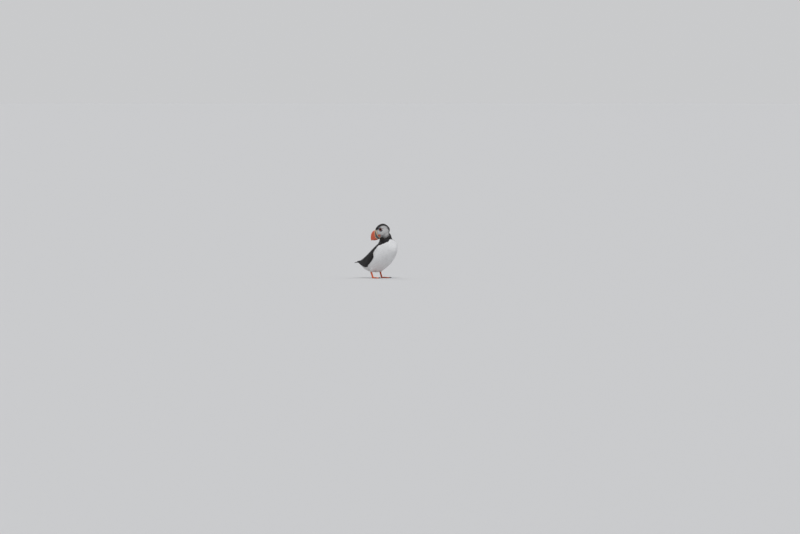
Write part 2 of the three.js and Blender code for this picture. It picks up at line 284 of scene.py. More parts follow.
def addCore(leg, side):
    # a rod from the shank's top up into the thigh
    low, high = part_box(f"leg_{side}")
    thighLow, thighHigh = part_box(f"thigh_{side}")
    ankle = Vector(((low.x + high.x) / 2, high.y - 0.0035, high.z - 0.004))
    inside = Vector(((thighLow.x + thighHigh.x) / 2, (thighLow.y + thighHigh.y) / 2, thighHigh.z - 0.003))
    turn = (inside - ankle).to_track_quat("Z", "Y").to_matrix().to_4x4()
    place = Matrix.Translation((ankle + inside) / 2) @ turn
    rod = {"segments": 16, "radius1": 0.0022, "radius2": 0.0026, "depth": (inside - ankle).length}
    core = bmesh.new()
    bmesh.ops.create_cone(core, cap_ends=True, matrix=place, **rod)
    core.from_mesh(leg.data)
    core.to_mesh(leg.data)
    core.free()


def legShape(sideName, side):
    # one leg with its foot, as a closed shape to be joined to the skin
    settings = skinSettings
    leg = joinedNodes("legShape", ["leg_" + sideName, "foot_" + sideName], settings["legSwell"])
    addCore(leg, sideName)
    remeshed(leg, settings["legVoxel"])
    places, edges = placesOf(leg.data), edgesOf(leg.data)
    height = places[:, 2] * 1000
    joint = smoothStep(3.5, 6, height) * smoothStep(15, 10, height)
    places = averaged(places, edges, 30, 0.5, 1 - joint)
    places = averaged(places, edges, 3, 0.4)
    movedTo(leg.data, places)
    normals = normalsOf(leg.data)
    places = places - normals * settings["legSwell"] * (0.85 - 0.35 * joint)[:, None]
    height = places[:, 2] * 1000

    # plates across the front of the shank and the top of each toe
    shankPitch, toePitch = settings["shankPitch"], settings["toePitch"]
    relief = np.zeros(len(places))
    frontward = smoothStep(0.1, 0.7, -normals[:, 1])
    shank = smoothStep(6, 8, height) * smoothStep(29, 27, height)
    relief += shank * frontward * 0.26 * (np.mod(-height, shankPitch) / shankPitch - 0.5)
    for ball, ahead, length in toeLines(sideName, side):
        reach, away = alongToe(places, ball, ahead)
        onToe = smoothStep(2.4, 1.5, away) * smoothStep(2, 5, reach) * smoothStep(7, 5, height)
        onToe = onToe * smoothStep(0.15, 0.6, normals[:, 2]) * smoothStep(length, length - 1, reach)
        relief += onToe * 0.22 * (np.mod(-reach, toePitch) / toePitch - 0.5)
        inClaw = (reach > length + 0.6) & (away < 3)
        line = ball + np.outer(reach / 1000, ahead) + (0, 0, 0.0016)
        places = np.where(inClaw[:, None], line + (places - line) * 0.55, places)
    relief -= shank * (1 - frontward) * 0.04
    places = places + normals * relief[:, None] / 1000
    places[:, 2] = np.maximum(places[:, 2], 0.00002)
    movedTo(leg.data, places)
    return leg


def refined(mesh, chosen):
    # each chosen vertex's edges are cut in two once
    shape = bmesh.new()
    shape.from_mesh(mesh)
    shape.verts.ensure_lookup_table()
    edges = [edge for edge in shape.edges if chosen[edge.verts[0].index] and chosen[edge.verts[1].index]]
    bmesh.ops.subdivide_edges(shape, edges=edges, cuts=1, use_grid_fill=True)
    shape.to_mesh(mesh)
    shape.free()


def united(first, second):
    modifier = first.modifiers.new("join", "BOOLEAN")
    modifier.operation = "UNION"
    modifier.solver = "MANIFOLD"
    modifier.object = second
    applied(first)
    bpy.data.objects.remove(second)
    return first


# markings: how far inside each patch a place lies, in millimetres
markingSettings = {
    "flankLine": [(46, 133), (40, 127), (33, 115), (22, 97), (8, 76), (0, 63), (-8, 53), (-18, 46),
                  (-36, 43.5), (-58, 46), (-76, 51), (-100, 54)],
    "collarHeight": 149.5,  # where black meets white in front
    "collarSlope": 0.383,
    "collarDrop": 13.0,  # the collar's edge comes down at the shoulders
    "cheekMiddle": (-0.5, -2.0),
    "cheekReach": (20.0, 21.5),
    "crease": [(2.4, 9.4), (-3, 10.2), (-9, 8.6), (-14.5, 5.0), (-18.5, 0), (-21, -6.5)],
}


def headMarks(head):
    # how far inside the pale face a place lies, and how far from the fold behind the eye
    marks = markingSettings
    (middleForward, middleUp), (reachForward, reachUp) = marks["cheekMiddle"], marks["cheekReach"]
    along = np.abs(head[:, 0] - middleForward) / reachForward
    above = np.abs(head[:, 2] - middleUp) / reachUp
    size = (along**2.2 + above**2.2) ** (1 / 2.2)
    cheek = (1 - size) * 20
    cheek = np.minimum(cheek, (np.abs(head[:, 1]) - 6.2) * 0.9 + np.maximum(0, head[:, 0] - 8) * 0.1)
    front = np.minimum((head[:, 0] - 13), 14.2 - head[:, 2])
    cheek = np.maximum(cheek, np.where(head[:, 2] < 14, front, -9) * (head[:, 2] > -16))
    crease = np.abs(sideOfLine(head[:, [0, 2]], curveThrough(marks["crease"], 30)))
    return cheek, crease


def bodyMarks(body):
    # above zero in black plumage, below in white
    marks = markingSettings
    flank = -sideOfLine(body[:, [0, 2]], curveThrough(marks["flankLine"], 60)[:, :2])
    drop = marks["collarDrop"] * (1 - np.exp(-((body[:, 1] / 14) ** 2)))
    edge = marks["collarHeight"] + marks["collarSlope"] * (body[:, 0] - 66) - drop
    collar = (body[:, 2] - edge) * 0.93
    collar = np.where(body[:, 2] > 108, collar, -20)
    return np.maximum(flank, collar)


def makeSkin():
    settings = skinSettings
    skin = remeshed(joinedNodes("skin", settings["flesh"], settings["swell"]), settings["voxel"])
    edges = edgesOf(skin.data)
    places = placesOf(skin.data)
    for _ in range(settings["smoothing"]):
        places = averaged(places, edges, 1, 0.5)
        places = averaged(places, edges, 1, -0.51)
    movedTo(skin.data, places)

    head = toHead(places)
    face = np.linalg.norm(head - (2, 0, -1), axis=1) < settings["fineReach"]
    face &= head[:, 0] > settings["fineFrom"]
    refined(skin.data, face)
    places = averaged(placesOf(skin.data), edgesOf(skin.data), 3, 0.4)
    movedTo(skin.data, places)

    # the coat's depth is taken off, less on the face and at the ankles
    head, body = toHead(places), toBody(places)
    toSkull = fromSkull(head)
    depth = settings["headDepth"] + settings["bodyExtra"] * smoothStep(28, 42, toSkull)
    depth -= settings["billLess"] * smoothStep(4, 16, head[:, 0]) * (toSkull < 34)
    low = settings["ankleDepth"] + settings["thighExtra"] * smoothStep(26, 40, body[:, 2])
    depth = np.where(body[:, 2] < 40, low, depth)
    places = places - normalsOf(skin.data) * depth[:, None] / 1000

    # folds of the face: the crease behind each eye, the full cheek below it and the brow above
    head = toHead(places)
    normals = normalsOf(skin.data)
    _, crease = headMarks(head)
    cheeks = smoothStep(5, 10, np.abs(head[:, 1])) * (toSkull < 36)
    fold = -0.85 * np.exp(-((crease / 1.3) ** 2)) + 0.40 * np.exp(-(((crease - 3.4) / 2.2) ** 2))
    puff = 0.9 * np.exp(-(((head[:, 0] - 1) / 11) ** 2) - ((head[:, 2] + 8) / 8) ** 2)
    brow = 0.5 * np.exp(-(((head[:, 0] - 7.4) / 6) ** 2) - ((head[:, 2] - 18) / 2.6) ** 2)
    places = places + normals * (cheeks * (fold + puff + brow))[:, None] / 1000
    movedTo(skin.data, places)
    return skin


def unwrapped(piece, mapName):
    # an even unwrap of the piece's own shape
    mesh = piece.data
    for layer in list(mesh.uv_layers):
        mesh.uv_layers.remove(layer)
    mesh.uv_layers.new(name=mapName)
    bpy.ops.object.select_all(action="DESELECT")
    bpy.context.view_layer.objects.active = piece
    piece.select_set(True)
    bpy.ops.object.mode_set(mode="EDIT")
    bpy.ops.mesh.select_all(action="SELECT")
    bpy.ops.uv.smart_project(angle_limit=math.radians(60), island_margin=0.002)
    bpy.ops.object.mode_set(mode="OBJECT")
    piece.select_set(False)


# how the coat lies, and where each part of it grows; all in millimetres
coatSettings = {
    "trunkLie": (-158, 0, -85),  # forward, left and up, from the root of a feather to its tip
    "thighLie": (-14, 0, -30),
    "headEnd": 31,  # from the middle of the skull
    "sideOut": 0.28,  # how far the skin of the wing faces sideways
    "lowestCollar": 122,
    "breastEnd": 34,  # behind it the white is the belly's
    "eyeOpening": 5.35,
    "quillHeight": 2.3,  # room for the quills under the coverts
    "rearmost": -79.0,  # past it only quills cover the wing tips and the tail
    "wingTop": [(44, 131), (26, 121), (6, 105), (-22, 86), (-52, 71), (-76, 64.5), (-96, 61)],
    "covertLine": [(30, 132), (21, 112), (12, 92), (7, 74), (2, 60)],  # small wing coverts lie ahead of it
}
featherLengths = {
    "face": 2.1,
    "cheek": 3.6,
    "nape": 5.5,
    "collar": 6.5,
    "breast": 9.0,
    "belly": 11.5,
    "thigh": 6.5,
    "back": 8.5,
    "wing": 6.0,
    "scapular": 12.0,
}


def bodyDirection(direction):
    forward, left, up = direction
    return unit(np.array([left, -forward, up], float))


def between(first, last, share):
    return first + (last - first) * share


def flatOn(outward, lie):
    return unit(lie - outward * np.sum(lie * outward, axis=1, keepdims=True))


def smoothed(values, edges, steps):
    return averaged(values[:, None].astype(float), edges, steps)[:, 0]


def bareLeg(places):
    # true on the skin of the legs below the thigh feathers
    margin, shankTop, footTop = 0.0032, 0.0262, 0.015
    bare = np.zeros(len(places), bool)
    for sideName, _ in sides:
        low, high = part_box("leg_" + sideName)
        inside = (places[:, 0] > low.x - margin) & (places[:, 0] < high.x + margin)
        inside &= (places[:, 1] > low.y - margin) & (places[:, 1] < high.y + margin)
        bare |= inside & (places[:, 2] < shankTop)
    return bare | (places[:, 2] < footTop)


def onThigh(body):
    aside = np.abs(body[:, 1])
    return smoothStep(50, 36, body[:, 2]) * smoothStep(11, 17, aside) * (np.abs(body[:, 0]) < 24)


def lieOfCoat(outward, edges, body, head, inHead):
    # back over the head, down the neck, along the trunk and down the thighs, flat on the skin
    settings = coatSettings
    rearward = smoothStep(4, -22, head[:, 0])[:, None]
    headLie = unit(-headAxes[0] - headAxes[2] * (0.15 + 1.3 * rearward) + (0, 0, -0.35) * rearward)
    neck, thigh = smoothStep(104, 138, body[:, 2])[:, None], onThigh(body)[:, None]
    lie = bodyDirection(settings["trunkLie"]) * (1 - neck) + np.array([0, 0, -1.0]) * neck
    lie = lie * (1 - thigh) + bodyDirection(settings["thighLie"]) * thigh
    lie = lie * (1 - inHead[:, None]) + headLie * inHead[:, None]
    for _ in range(8):
        lie = flatOn(outward, averaged(lie, edges, 2))
    return lie


def whereFeathered(places, outward, body, head, black, toEye):
    # bare are the legs, the eyes, the bill, and the wing's rear edge, which is left to its quills
    aside, up = np.abs(head[:, 1]), head[:, 2]
    inBill = (head[:, 0] > 15.5) & (aside < 6.9) & (np.abs(up + 2) < np.where(up > -8, 13.5, 17.0))
    feathered = ~bareLeg(places) & ~inBill & (toEye > coatSettings["eyeOpening"])
    lowEdge = (outward[:, 2] < -0.3) | ((black < 5) & (body[:, 0] < -60))
    feathered &= ~((body[:, 0] < -50) & (black > -1.2) & lowEdge)
    return feathered & (body[:, 0] > coatSettings["rearmost"])


def coatRegions(outward, body, black, cheek, feathered, toSkull):
    # where each kind of feather grows, and how high the quills lift the coverts over them
    settings = coatSettings
    forward, up, sideOut = body[:, 0], body[:, 2], np.abs(outward[:, 0])
    belowTop = sideOfLine(body[:, [0, 2]], curveThrough(settings["wingTop"], 50))
    ahead = sideOfLine(body[:, [0, 2]], curveThrough(settings["covertLine"], 30))
    offHead = toSkull > settings["headEnd"] + 3
    wing = (belowTop > 0) & (black > -1.5) & (sideOut > settings["sideOut"]) & (up < 133) & offHead
    quills = wing & (ahead < -7) & (belowTop > 2) & (forward > -84) & (black > 9)
    scapular = (np.abs(belowTop + 2) < 10) & (sideOut > 0.15) & (np.abs(body[:, 1]) > 12)
    scapular &= (forward < 31) & (forward > -56) & offHead
    black = black + 1.2 * ((up < 110) & (forward < 26) & (sideOut > settings["sideOut"]))
    inHead = feathered & (toSkull < settings["headEnd"])
    white = feathered & ~inHead & (black <= 0)
    dark = feathered & ~inHead & (black > 0)
    regions = {
        "face": inHead & (cheek > 0),
        "cap": inHead & (cheek <= 0),
        "collar": dark & (up > settings["lowestCollar"]) & (forward > 12),
        "scapular": dark & scapular,
        "wing": dark & wing & ~quills & ~scapular,
        "breast": white & (forward > settings["breastEnd"]),
        "belly": white & (forward <= settings["breastEnd"]),
    }
    regions["back"] = dark & ~regions["collar"] & ~regions["wing"] & ~quills & ~scapular
    onWing = smoothStep(8, -6, ahead) * smoothStep(-9, 3, belowTop) * smoothStep(3, 10, black)
    onWing = onWing * (scapular | (black > 10) | (ahead > -9))
    padding = settings["quillHeight"] * onWing * smoothStep(-70, -40, forward) * offHead
    return regions, black, scapular, padding


def lengthOfCoat(outward, edges, body, head, black, cheek, regions, toSkull, inHead):
    lengths, (forward, _, up) = featherLengths, body.T
    length = np.full(len(body), lengths["back"])
    for region in ("collar", "wing", "scapular"):
        length = np.where(regions[region], lengths[region], length)
    pale = between(lengths["breast"], lengths["belly"], smoothStep(50, 10, forward))
    pale = pale - 3.0 * smoothStep(112, 142, up)
    pale = pale - (pale - lengths["thigh"]) * smoothStep(44, 28, up) * onThigh(body)
    length = np.where(regions["breast"] | regions["belly"], pale, length)
    onFace = between(lengths["face"], lengths["cheek"], smoothStep(12, -18, head[:, 0]))
    onCap = between(lengths["face"], lengths["nape"], smoothStep(20, -20, head[:, 0]))
    length = length * (1 - inHead) + np.where(cheek > 0, onFace, onCap) * inHead
    length = length * (0.45 + 0.55 * smoothStep(-92, -70, forward))
    # in folds and over edges the feathers are short, and under the wing tips, so that the black ends evenly
    broadly = unit(averaged(outward, edges, 25))
    bend = 1 - np.sum(outward * broadly, axis=1)
    length = length * (1 - 0.55 * smoothStep(0.03, 0.22, bend) * (toSkull > 36) * (up > 44))
    underTip = smoothStep(-34, -52, forward) * smoothStep(0.25, -0.05, outward[:, 2]) * (black > -2)
    return smoothed(length * (1 - 0.45 * underTip), edges, 4)


def duskAndShadeOfCoat(body, head, black, cheek, crease, regions, toSkull, toEye):
    # how far a feather is darkened from its own clear colour, by dusky tone and by painted shade
    rim = smoothStep(7, 0, cheek) * 0.45
    # the crease behind the eye is darker: partly its own darker grey, partly painted shade in the fold
    fold = 0.70 * np.exp(-((crease / 1.1) ** 2)) * (np.abs(head[:, 1]) > 6)
    # darker towards the chin: partly the throat's own dusky grey, partly painted shade under the head
    chinDuskAndShade = 0.35 * smoothStep(-4, -18, head[:, 2])
    # painted shade on the feathers round the eye opening
    eyeOpeningShade = 0.25 * np.exp(-(((toEye - 6) / 2.5) ** 2))
    dusk = np.where(toSkull < 36, np.clip(rim + fold + chinDuskAndShade + eyeOpeningShade, 0, 1), 0.0)
    # painted shade low on the belly towards the legs; near the wing's lower edge the flank's own dusky grey
    # with painted shade under the wing
    bellyShadeAndFlankDusk = 0.32 * smoothStep(52, 26, body[:, 2]) + 0.34 * smoothStep(15, 0, -black) * (body[:, 2] < 118)
    return np.where(regions["breast"] | regions["belly"], np.clip(bellyShadeAndFlankDusk, 0, 0.6), dusk)


def layCoat(skin):
    mesh = skin.data
    places, edges = placesOf(mesh), edgesOf(mesh)
    outward = unit(averaged(normalsOf(mesh), edges, 6))
    body, head = toBody(places), toHead(places)
    black = bodyMarks(body)
    cheek, crease = headMarks(head)
    toSkull = fromSkull(head)
    inHead = 1 - smoothStep(24, 33, toSkull)
    toEyes = [np.linalg.norm(places - middleOf("eye_" + name), axis=1) for name, _ in sides]
    toEye = np.min(toEyes, axis=0) * 1000
    lie = lieOfCoat(outward, edges, body, head, inHead)
    feathered = whereFeathered(places, outward, body, head, black, toEye)
    regions, black, scapular, padding = coatRegions(outward, body, black, cheek, feathered, toSkull)
    # the scapulars fan out sideways over the wing
    fan = smoothed(scapular * smoothStep(31, 20, body[:, 0]), edges, 20)[:, None]
    sideways = np.sign(body[:, 1])[:, None] * np.array([0.32, 0, 0]) + np.array([0, 0, -0.10])
    lie = flatOn(outward, unit(lie + fan * sideways))
    length = lengthOfCoat(outward, edges, body, head, black, cheek, regions, toSkull, inHead)
    onHead = toSkull < coatSettings["headEnd"]

    storeValues(mesh, "lie", lie, "FLOAT_VECTOR")
    storeValues(mesh, "outward", outward, "FLOAT_VECTOR")
    storeValues(mesh, "vaneLength", length / 1000)
    # darkening for the finishes: dusky tone and painted shade
    storeValues(mesh, "dusk", duskAndShadeOfCoat(body, head, black, cheek, crease, regions, toSkull, toEye))
    storeValues(mesh, "blackSide", np.where(onHead, -cheek, black))
    storeValues(mesh, "cheekSide", np.where(onHead, cheek, -9))
    storeValues(mesh, "padding", smoothed(padding, edges, 6) / 1000)
    for name, chosen in regions.items():
        storeValues(mesh, "grows_" + name, smoothed(chosen, edges, 1) * chosen)


# shader parts that several finishes share
def feed(tree, socket, value):
    # a socket takes what another node gives, or a plain value
    if isinstance(value, bpy.types.NodeSocket):
        tree.links.new(value, socket)
    elif socket.type == "RGBA":
        socket.default_value = (*value, 1)
    else:
        socket.default_value = value


def addNode(tree, kind, inputs=None, **settings):
    node = tree.nodes.new(kind)
    for name, value in settings.items():
        setattr(node, name, value)
    for name, value in (inputs or {}).items():
        feed(tree, node.inputs[name], value)
    return node


def maths(tree, operation, *values):
    return addNode(tree, "ShaderNodeMath", dict(enumerate(values)), operation=operation).outputs[0]


def vectorMaths(tree, operation, first, second=None):
    inputs = {0: first}
    if second is not None:
        inputs[3 if operation == "SCALE" else 1] = second
    node = addNode(tree, "ShaderNodeVectorMath", inputs, operation=operation)
    return node.outputs["Value" if operation == "DOT_PRODUCT" else "Vector"]


def inverted(tree, value):
    return maths(tree, "SUBTRACT", 1.0, value)


def stepped(tree, value, low, high):
    # 0 below low and 1 above high, smooth between
    inputs = {"Value": value, "From Min": low, "From Max": high}
    return addNode(tree, "ShaderNodeMapRange", inputs, interpolation_type="SMOOTHSTEP").outputs["Result"]


def blended(tree, share, first, second):
    # a share of the second colour over the first
    return addNode(tree, "ShaderNodeMix", {0: share, 6: first, 7: second}, data_type="RGBA").outputs[2]


def noiseAt(tree, place, scale, detail):
    return addNode(tree, "ShaderNodeTexNoise", {"Vector": place, "Scale": scale, "Detail": detail}).outputs[0]


def newGroup(name, inputs, outputs):
    group = bpy.data.node_groups.new(name, "ShaderNodeTree")
    for label, kind, value in inputs:
        socket = group.interface.new_socket(label, in_out="INPUT", socket_type="NodeSocket" + kind)
        if value is not None:
            socket.default_value = value
    for label in outputs:
        group.interface.new_socket(label, in_out="OUTPUT", socket_type="NodeSocketFloat")
    return group, group.nodes.new("NodeGroupInput").outputs, group.nodes.new("NodeGroupOutput").inputs


def barbGroup():
    # fine barbs that run out from a feather's shaft towards its tip
    group, given, out = newGroup(
        "featherBarbs",
        [("Vane", "Vector", None), ("Barbs", "Float", 34.0), ("Slant", "Float", 11.0)],
        ["Height", "Shaft", "Along"],
    )
    parts = addNode(group, "ShaderNodeSeparateXYZ", {0: given["Vane"]}).outputs
    aside = maths(group, "ABSOLUTE", maths(group, "MULTIPLY_ADD", parts["X"], 2.0, -1.0))
    straight = maths(group, "MULTIPLY", parts["Y"], given["Barbs"])
    phase = maths(group, "SUBTRACT", straight, maths(group, "MULTIPLY", aside, given["Slant"]))
    phase = maths(group, "MULTIPLY_ADD", noiseAt(group, given["Vane"], 9.0, 1.0), 0.7, phase)
    feed(group, out["Height"], ripples(group, phase))
    feed(group, out["Shaft"], inverted(group, stepped(group, aside, 0.02, 0.12)))
    feed(group, out["Along"], parts["Y"])
    return group


def ripples(tree, phase):
    # one wave, from 0 to 1, for each unit of phase
    wave = maths(tree, "SINE", maths(tree, "MULTIPLY", phase, 2 * math.pi))
    return maths(tree, "MULTIPLY_ADD", wave, 0.5, 0.5)


def mottleGroup():
    # uneven tone over a surface, broad and fine
    group, given, out = newGroup(
        "unevenTone",
        [("Place", "Vector", None), ("Broad", "Float", 60.0), ("Fine", "Float", 900.0)],
        ["Broad tone", "Fine tone"],
    )
    feed(group, out["Broad tone"], noiseAt(group, given["Place"], given["Broad"], 3.0))
    feed(group, out["Fine tone"], noiseAt(group, given["Place"], given["Fine"], 2.0))
    return group


def scaleGroup():
    # small horny scales with sunk lines between them, and the lines as a mask for painted shade
    inputs = [("Place", "Vector", None), ("Size", "Float", 900.0)]
    group, given, out = newGroup("skinScales", inputs, ["Height", "GrooveShade"])
    cells = {"Vector": given["Place"], "Scale": given["Size"]}
    toEdge = addNode(group, "ShaderNodeTexVoronoi", cells, feature="DISTANCE_TO_EDGE").outputs["Distance"]
    feed(group, out["Height"], stepped(group, toEdge, 0.0, 0.32))
    feed(group, out["GrooveShade"], inverted(group, stepped(group, toEdge, 0.02, 0.16)))
    return group


def hornGroup():
    # growth lines, small scratches and clouding of horn
    group, given, out = newGroup(
        "hornGrowth",
        [("Along", "Float", 0.0), ("Place", "Vector", None), ("Lines", "Float", 1.7)],
        ["Lines height", "Wear", "Cloud"],
    )
    even = maths(group, "MULTIPLY", given["Along"], given["Lines"])
    phase = maths(group, "MULTIPLY_ADD", noiseAt(group, given["Place"], 140.0, 2.0), 2.4, even)
    feed(group, out["Lines height"], ripples(group, phase))
    flecks = noiseAt(group, given["Place"], 1500.0, 3.0)
    feed(group, out["Wear"], stepped(group, flecks, 0.56, 0.7))
    feed(group, out["Cloud"], noiseAt(group, given["Place"], 260.0, 3.0))
    return group


shared = {"barbs": barbGroup(), "mottle": mottleGroup(), "scales": scaleGroup(), "horn": hornGroup()}


def placed(tree, name, inputs):
    return addNode(tree, "ShaderNodeGroup", inputs, node_tree=shared[name]).outputs


def newMaterial(name, plain):
    # plain values are set on the shader's own sockets
    material = bpy.data.materials.new(name)
    material.use_nodes = True
    tree = material.node_tree
    shader = tree.nodes["Principled BSDF"]
    for label, value in plain.items():
        shader.inputs[label].default_value = value
    return material, tree, shader


def bumped(tree, shader, height, distance, strength=1.0):
    bump = addNode(tree, "ShaderNodeBump", {"Height": height, "Distance": distance, "Strength": strength})
    tree.links.new(bump.outputs[0], shader.inputs["Normal"])


def attributeOf(tree, name):
    return addNode(tree, "ShaderNodeAttribute", attribute_name=name).outputs


def objectPlace(tree):
    return addNode(tree, "ShaderNodeTexCoord").outputs["Object"]


# plumage finishes: clear, and darkened towards one colour for both dusky tone and painted shade, with paler
# tips
plumageColours = {
    "white": {
        "clear": (0.80, 0.80, 0.805),
        "duskyAndShade": (0.56, 0.535, 0.52),
        "tip": (0.86, 0.86, 0.865),
        "rough": 0.85,
        "sheen": 0.12,
        "vary": 0.10,
    },
    "grey": {
        "clear": (0.52, 0.515, 0.515),
        "duskyAndShade": (0.080, 0.078, 0.080),
        "tip": (0.61, 0.605, 0.60),
        "rough": 0.85,
        "sheen": 0.10,
        "vary": 0.12,
    },
    "black": {
        "clear": (0.0100, 0.0092, 0.0105),
        "duskyAndShade": (0.020, 0.0155, 0.0135),
        "tip": (0.0185, 0.0170, 0.0178),
        "rough": 0.56,
        "sheen": 0.02,
        "vary": 0.30,
    },
}
barbSettings = {"coat": 34.0, "quill": 90.0, "depth": 0.00010}  # barbs along a feather; depth in metres


def plumageMaterial(name, colours, barbs):
    plain = {"Sheen Weight": colours["sheen"], "Sheen Roughness": 0.5, "Specular IOR Level": 0.3}
    material, tree, shader = newMaterial(name, plain)
    vane = addNode(tree, "ShaderNodeUVMap", uv_map="vane").outputs[0]
    barb = placed(tree, "barbs", {"Vane": vane, "Barbs": barbs})
    tone = attributeOf(tree, "tone")["Fac"]
    dusk = attributeOf(tree, "dusk")["Fac"]
    mottle = placed(tree, "mottle", {"Place": objectPlace(tree), "Broad": 55.0, "Fine": 1400.0})
    # blends towards the dark colour by the coat's dusky tone and painted shade
    share = maths(tree, "ADD", dusk, maths(tree, "MULTIPLY_ADD", mottle["Broad tone"], 0.20, -0.10))
    base = blended(tree, stepped(tree, share, 0.0, 1.0), colours["clear"], colours["duskyAndShade"])
    nearTip = maths(tree, "MULTIPLY", stepped(tree, barb["Along"], 0.55, 1.0), 0.5)
    nearTip = maths(tree, "MULTIPLY", nearTip, inverted(tree, dusk))
    base = blended(tree, nearTip, base, colours["tip"])
    light = maths(tree, "MULTIPLY_ADD", tone, colours["vary"], 1.0 - colours["vary"] / 2)
    light = maths(tree, "MULTIPLY", light, maths(tree, "MULTIPLY_ADD", barb["Height"], 0.08, 0.96))
    light = maths(tree, "MULTIPLY", light, maths(tree, "MULTIPLY_ADD", barb["Shaft"], -0.06, 1.0))
    rough = maths(tree, "MULTIPLY_ADD", tone, 0.12, colours["rough"] - 0.06)
    height = maths(tree, "MULTIPLY_ADD", barb["Shaft"], 0.8, maths(tree, "MULTIPLY", barb["Height"], 0.6))
    feed(tree, shader.inputs["Base Color"], vectorMaths(tree, "SCALE", base, light))
    feed(tree, shader.inputs["Roughness"], rough)
    bumped(tree, shader, height, barbSettings["depth"], 0.45)
    return material


plumage = {
    name: plumageMaterial(name + "Plumage", colours, barbSettings["coat"])
    for name, colours in plumageColours.items()
}


def skinMaterial():
    # under the feathers the skin carries the coat's own markings
    material, tree, shader = newMaterial("skinUnderCoat", {"Roughness": 0.85, "Specular IOR Level": 0.25})
    mottle = placed(tree, "mottle", {"Place": objectPlace(tree), "Broad": 240.0, "Fine": 2600.0})
    ragged = maths(tree, "MULTIPLY_ADD", mottle["Broad tone"], 2.4, -1.2)
    black, cheek = [
        stepped(tree, maths(tree, "ADD", attributeOf(tree, name)["Fac"], ragged), -0.4, 0.4)
        for name in ("blackSide", "cheekSide")
    ]
    # the same dusky tone and painted shade as the coat
    dusk = attributeOf(tree, "dusk")["Fac"]
    pale, face = [
        blended(tree, dusk, plumageColours[name]["clear"], plumageColours[name]["duskyAndShade"])
        for name in ("white", "grey")
    ]
    base = blended(tree, black, pale, plumageColours["black"]["clear"])
    base = blended(tree, cheek, base, face)
    light = maths(tree, "MULTIPLY_ADD", mottle["Fine tone"], 0.5, 0.6)
    feed(tree, shader.inputs["Base Color"], vectorMaths(tree, "SCALE", base, light))
    bumped(tree, shader, mottle["Fine tone"], 0.0004)
    return material


# the coat: many small closed vanes that follow the lie; a vane is 1 long and 1 broad until it grows
vaneSettings = {
    "soft": {"fray": 0.30, "pointed": 0.26, "camber": 0.08, "breadths": (0.62, 0.96, 0.92), "shapes": 6},
    "firm": {"fray": 0.04, "pointed": 0.24, "camber": 0.15, "breadths": (0.74, 1.0, 0.74), "shapes": 4},
    "columns": (-0.5, -0.26, 0.0, 0.26, 0.5),
    "alongs": (0.26, 0.56),
    "rise": 0.10,
    "thickness": 0.02,
    "seed": 7,
}


def vaneRows(kind, chance):
    # its cross rows, each with places across and along; the last one ends in loose barbs
    settings = vaneSettings
    columns = np.array(settings["columns"])
    lean = chance.uniform(-0.10, 0.10)
    rows = []
    for along, breadth in zip(settings["alongs"], kind["breadths"]):
        rows.append((columns * breadth * chance.uniform(0.93, 1.07), np.full(len(columns), along)))
    reach = 1 - kind["pointed"] * np.abs(2 * columns) ** 1.6 + chance.uniform(-0.05, 0.04, len(columns))
    reach[1::2] -= kind["fray"] * chance.uniform(0.7, 1.15, 2)
    rows.append((columns * kind["breadths"][2] * chance.uniform(0.92, 1.05, len(columns)), reach))
    vertices = []
    for across, along in rows:
        height = settings["rise"] * np.sin(math.pi * 0.74 * along**0.85)
        height = height - kind["camber"] * (2 * columns) ** 2 * (0.3 + 0.5 * along)
        vertices += list(zip(across + lean * along**2, along, height))
    return vertices


def vaneShape(name, kind, chance):
    # an upper and a lower sheet from one root, joined along their edges and at the tip
    settings = vaneSettings
    count = len(settings["columns"])
    vertices = [(0, 0, -0.02)] + vaneRows(kind, chance)
    upper = [[1 + count * row + k for k in range(count)] for row in range(3)]
    lower = []
    for row in upper[:2]:
        inner = []
        for k in row[1:-1]:
            x, y, z = vertices[k]
            inner.append(len(vertices))
            vertices.append((x, y, z - settings["thickness"]))
        lower.append([row[0], *inner, row[-1]])
    lower.append(upper[2])
    faces = []
    for sheet in (upper, lower):
        faces += [(0, sheet[0][k], sheet[0][k + 1]) for k in range(count - 1)]
        for near, far in zip(sheet[:-1], sheet[1:]):
            for k in range(count - 1):  # both sheets are cut the same way, so the lower one never shows above
                a, b, c, d = near[k], far[k], far[k + 1], near[k + 1]
                faces += [(a, b, d), (d, b, c)] if k < 2 else [(a, b, c), (a, c, d)]
    mesh = bpy.data.meshes.new(name)
    mesh.from_pydata([tuple(map(float, v)) for v in vertices], [], faces)
    turnedOut(mesh)
    layer = mesh.uv_layers.new(name="vane")
    for loop in mesh.loops:
        x, y, _ = mesh.vertices[loop.vertex_index].co
        layer.data[loop.index].uv = (min(1, max(0, x + 0.5)), min(1, max(0, y)))
    return bpy.data.objects.new(name, mesh)


def vaneCollection(label):
    collection = bpy.data.collections.new(label + "Vanes")
    chance = np.random.default_rng(vaneSettings["seed"])
    for i in range(vaneSettings[label]["shapes"]):
        collection.objects.link(vaneShape(f"{label}Vane{i}", vaneSettings[label], chance))
    return collection


treeSettings = {
    # spacing in metres, and the rest in shares; a coat piece may say otherwise
    "Spacing": 0.0024,
    "Length": 1.0,
    "Breadth": 0.5,
    "Lift": 1.0,
    "Disorder": 0.12,
    "Softness": 0.6,
}
overhang = (0.0016, 0.0032)  # metres past the end of the skin over which a vane starts to run straight on
bakePatch = 0.003  # how wide each feather's patch is on the finish map


def named(tree, name, kind="FLOAT_VECTOR"):
    node = addNode(tree, "GeometryNodeInputNamedAttribute", {"Name": name}, data_type=kind)
    return node.outputs["Attribute"]


